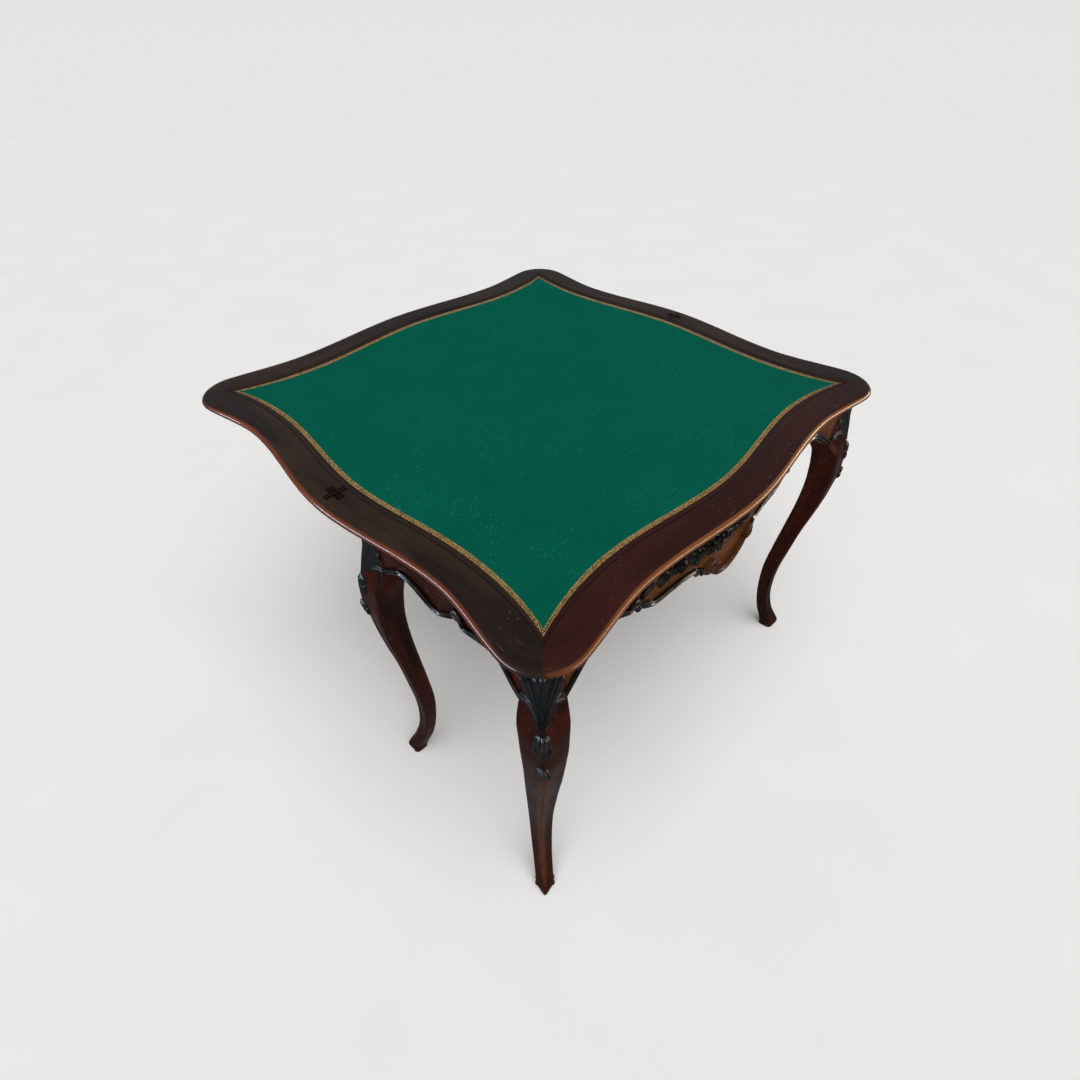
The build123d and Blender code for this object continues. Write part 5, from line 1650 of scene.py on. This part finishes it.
class CARDTABLE_OT_leather(Operator):
    """Makes the gilt leather bands and stamps their marks"""
    bl_idname = "cardtable.leather"
    bl_label = "Gilt leather"

    def execute(self, context):
        group = tooling_group()
        for leaf, sign, body in (("near", -1, "base"), ("far", 1, "far_leaf")):
            leather_piece(leaf, sign, body)
            tooled_marks(leaf, sign, body, group)
        return {"FINISHED"}


class CARDTABLE_OT_legs(Operator):
    """Makes the four cabriole legs with the carving on their knees"""
    bl_idname = "cardtable.legs"
    bl_label = "Legs"

    def execute(self, context):
        for corner in CORNERS:
            body = "gate" if corner == "gate" else "base"
            leg_piece(corner, body)
            place = knee_surface(corner)
            acanthus_piece(corner, body, place)
            husks_piece(corner, body, place)
        return {"FINISHED"}


class CARDTABLE_OT_mouldings(Operator):
    """Makes the channelled mouldings under the aprons"""
    bl_idname = "cardtable.mouldings"
    bl_label = "Mouldings"

    def execute(self, context):
        front_moulding_piece()
        side_moulding_piece("left")
        side_moulding_piece("right")
        return {"FINISHED"}


class CARDTABLE_OT_garland(Operator):
    """Carves the rose, flowers and leaves on the front apron"""
    bl_idname = "cardtable.garland"
    bl_label = "Garland"

    def execute(self, context):
        garland_pieces()
        return {"FINISHED"}


TIMBER_FINISHES = {
    "front_wood": ("front_apron",),
    "side_wood": ("left_apron", "right_apron"),
    "panel_wood": ("far_panel",),
    "inner_timber": ("near_panel", "corner_blocks", "cross_bearer", "fixed_back_rail", "inner_back_rail"),
    "fly_timber": ("fly_rail",),
}


class CARDTABLE_OT_timber(Operator):
    """Finishes the aprons, the panels and the timber inside"""
    bl_idname = "cardtable.timber"
    bl_label = "Aprons and timber"

    def execute(self, context):
        for finish, names in TIMBER_FINISHES.items():
            dress_nodes(names, finish)
        return {"FINISHED"}


class CARDTABLE_OT_metalwork(Operator):
    """Finishes the hinges, pins and screws"""
    bl_idname = "cardtable.metalwork"
    bl_label = "Metalwork"

    def execute(self, context):
        plates = ["{}_hinge_{}_plate".format(side, leaf) for side in ("left", "right") for leaf in ("near", "far")]
        dress_nodes(plates + ["near_hinge_screws", "far_hinge_screws"], "patina")
        dress_nodes(("hinge_pins", "gate_pin", "leaf_screws", "rail_screws"), "steel")
        group = screw_group()
        for node, body, axis, sign in SCREW_GROUPS:
            screws_piece(group, node, body, axis, sign)
        return {"FINISHED"}


class CARDTABLE_PT_build(Panel):
    """Lists the steps that finish the card table"""
    bl_idname = "CARDTABLE_PT_build"
    bl_label = "Card Table"
    bl_space_type = "VIEW_3D"
    bl_region_type = "UI"
    bl_category = "Card Table"

    def draw(self, context):
        for step in STEPS:
            self.layout.operator(step.bl_idname)
        for name, group in SETTINGS:
            box = self.layout.box()
            box.label(text=group.__doc__)
            settings = getattr(context.scene, name)
            for field in group.__annotations__:
                box.prop(settings, field)


STEPS = (CARDTABLE_OT_stage, CARDTABLE_OT_rims, CARDTABLE_OT_baize, CARDTABLE_OT_leather, CARDTABLE_OT_legs,
         CARDTABLE_OT_mouldings, CARDTABLE_OT_garland, CARDTABLE_OT_timber, CARDTABLE_OT_metalwork)
SETTINGS = (("card_table_top", CardTableTop), ("card_table_frame", CardTableFrame),
            ("card_table_legs", CardTableLegs), ("card_table_garland", CardTableGarland),
            ("card_table_tooling", CardTableTooling), ("card_table_finish", CardTableFinish),
            ("card_table_stage", CardTableStage))


def register():
    """Makes the settings, the steps and the panel known."""
    for name, group in SETTINGS:
        bpy.utils.register_class(group)
        setattr(bpy.types.Scene, name, PointerProperty(type=group))
    for made in STEPS + (CARDTABLE_PT_build,):
        bpy.utils.register_class(made)


def unregister():
    """Takes the settings, the steps and the panel away again."""
    for made in reversed(STEPS + (CARDTABLE_PT_build,)):
        bpy.utils.unregister_class(made)
    for name, group in reversed(SETTINGS):
        delattr(bpy.types.Scene, name)
        bpy.utils.unregister_class(group)


def main():
    """Finishes the table in order and gathers the two boxes."""
    register()
    for step in STEPS:
        family, action = step.bl_idname.split(".")
        getattr(getattr(bpy.ops, family), action)()
    boxes = {"cad": cad_box, "visual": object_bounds()}
    {name: [list(corner) for corner in box] for name, box in boxes.items()}


if __name__ == "__main__":
    main()
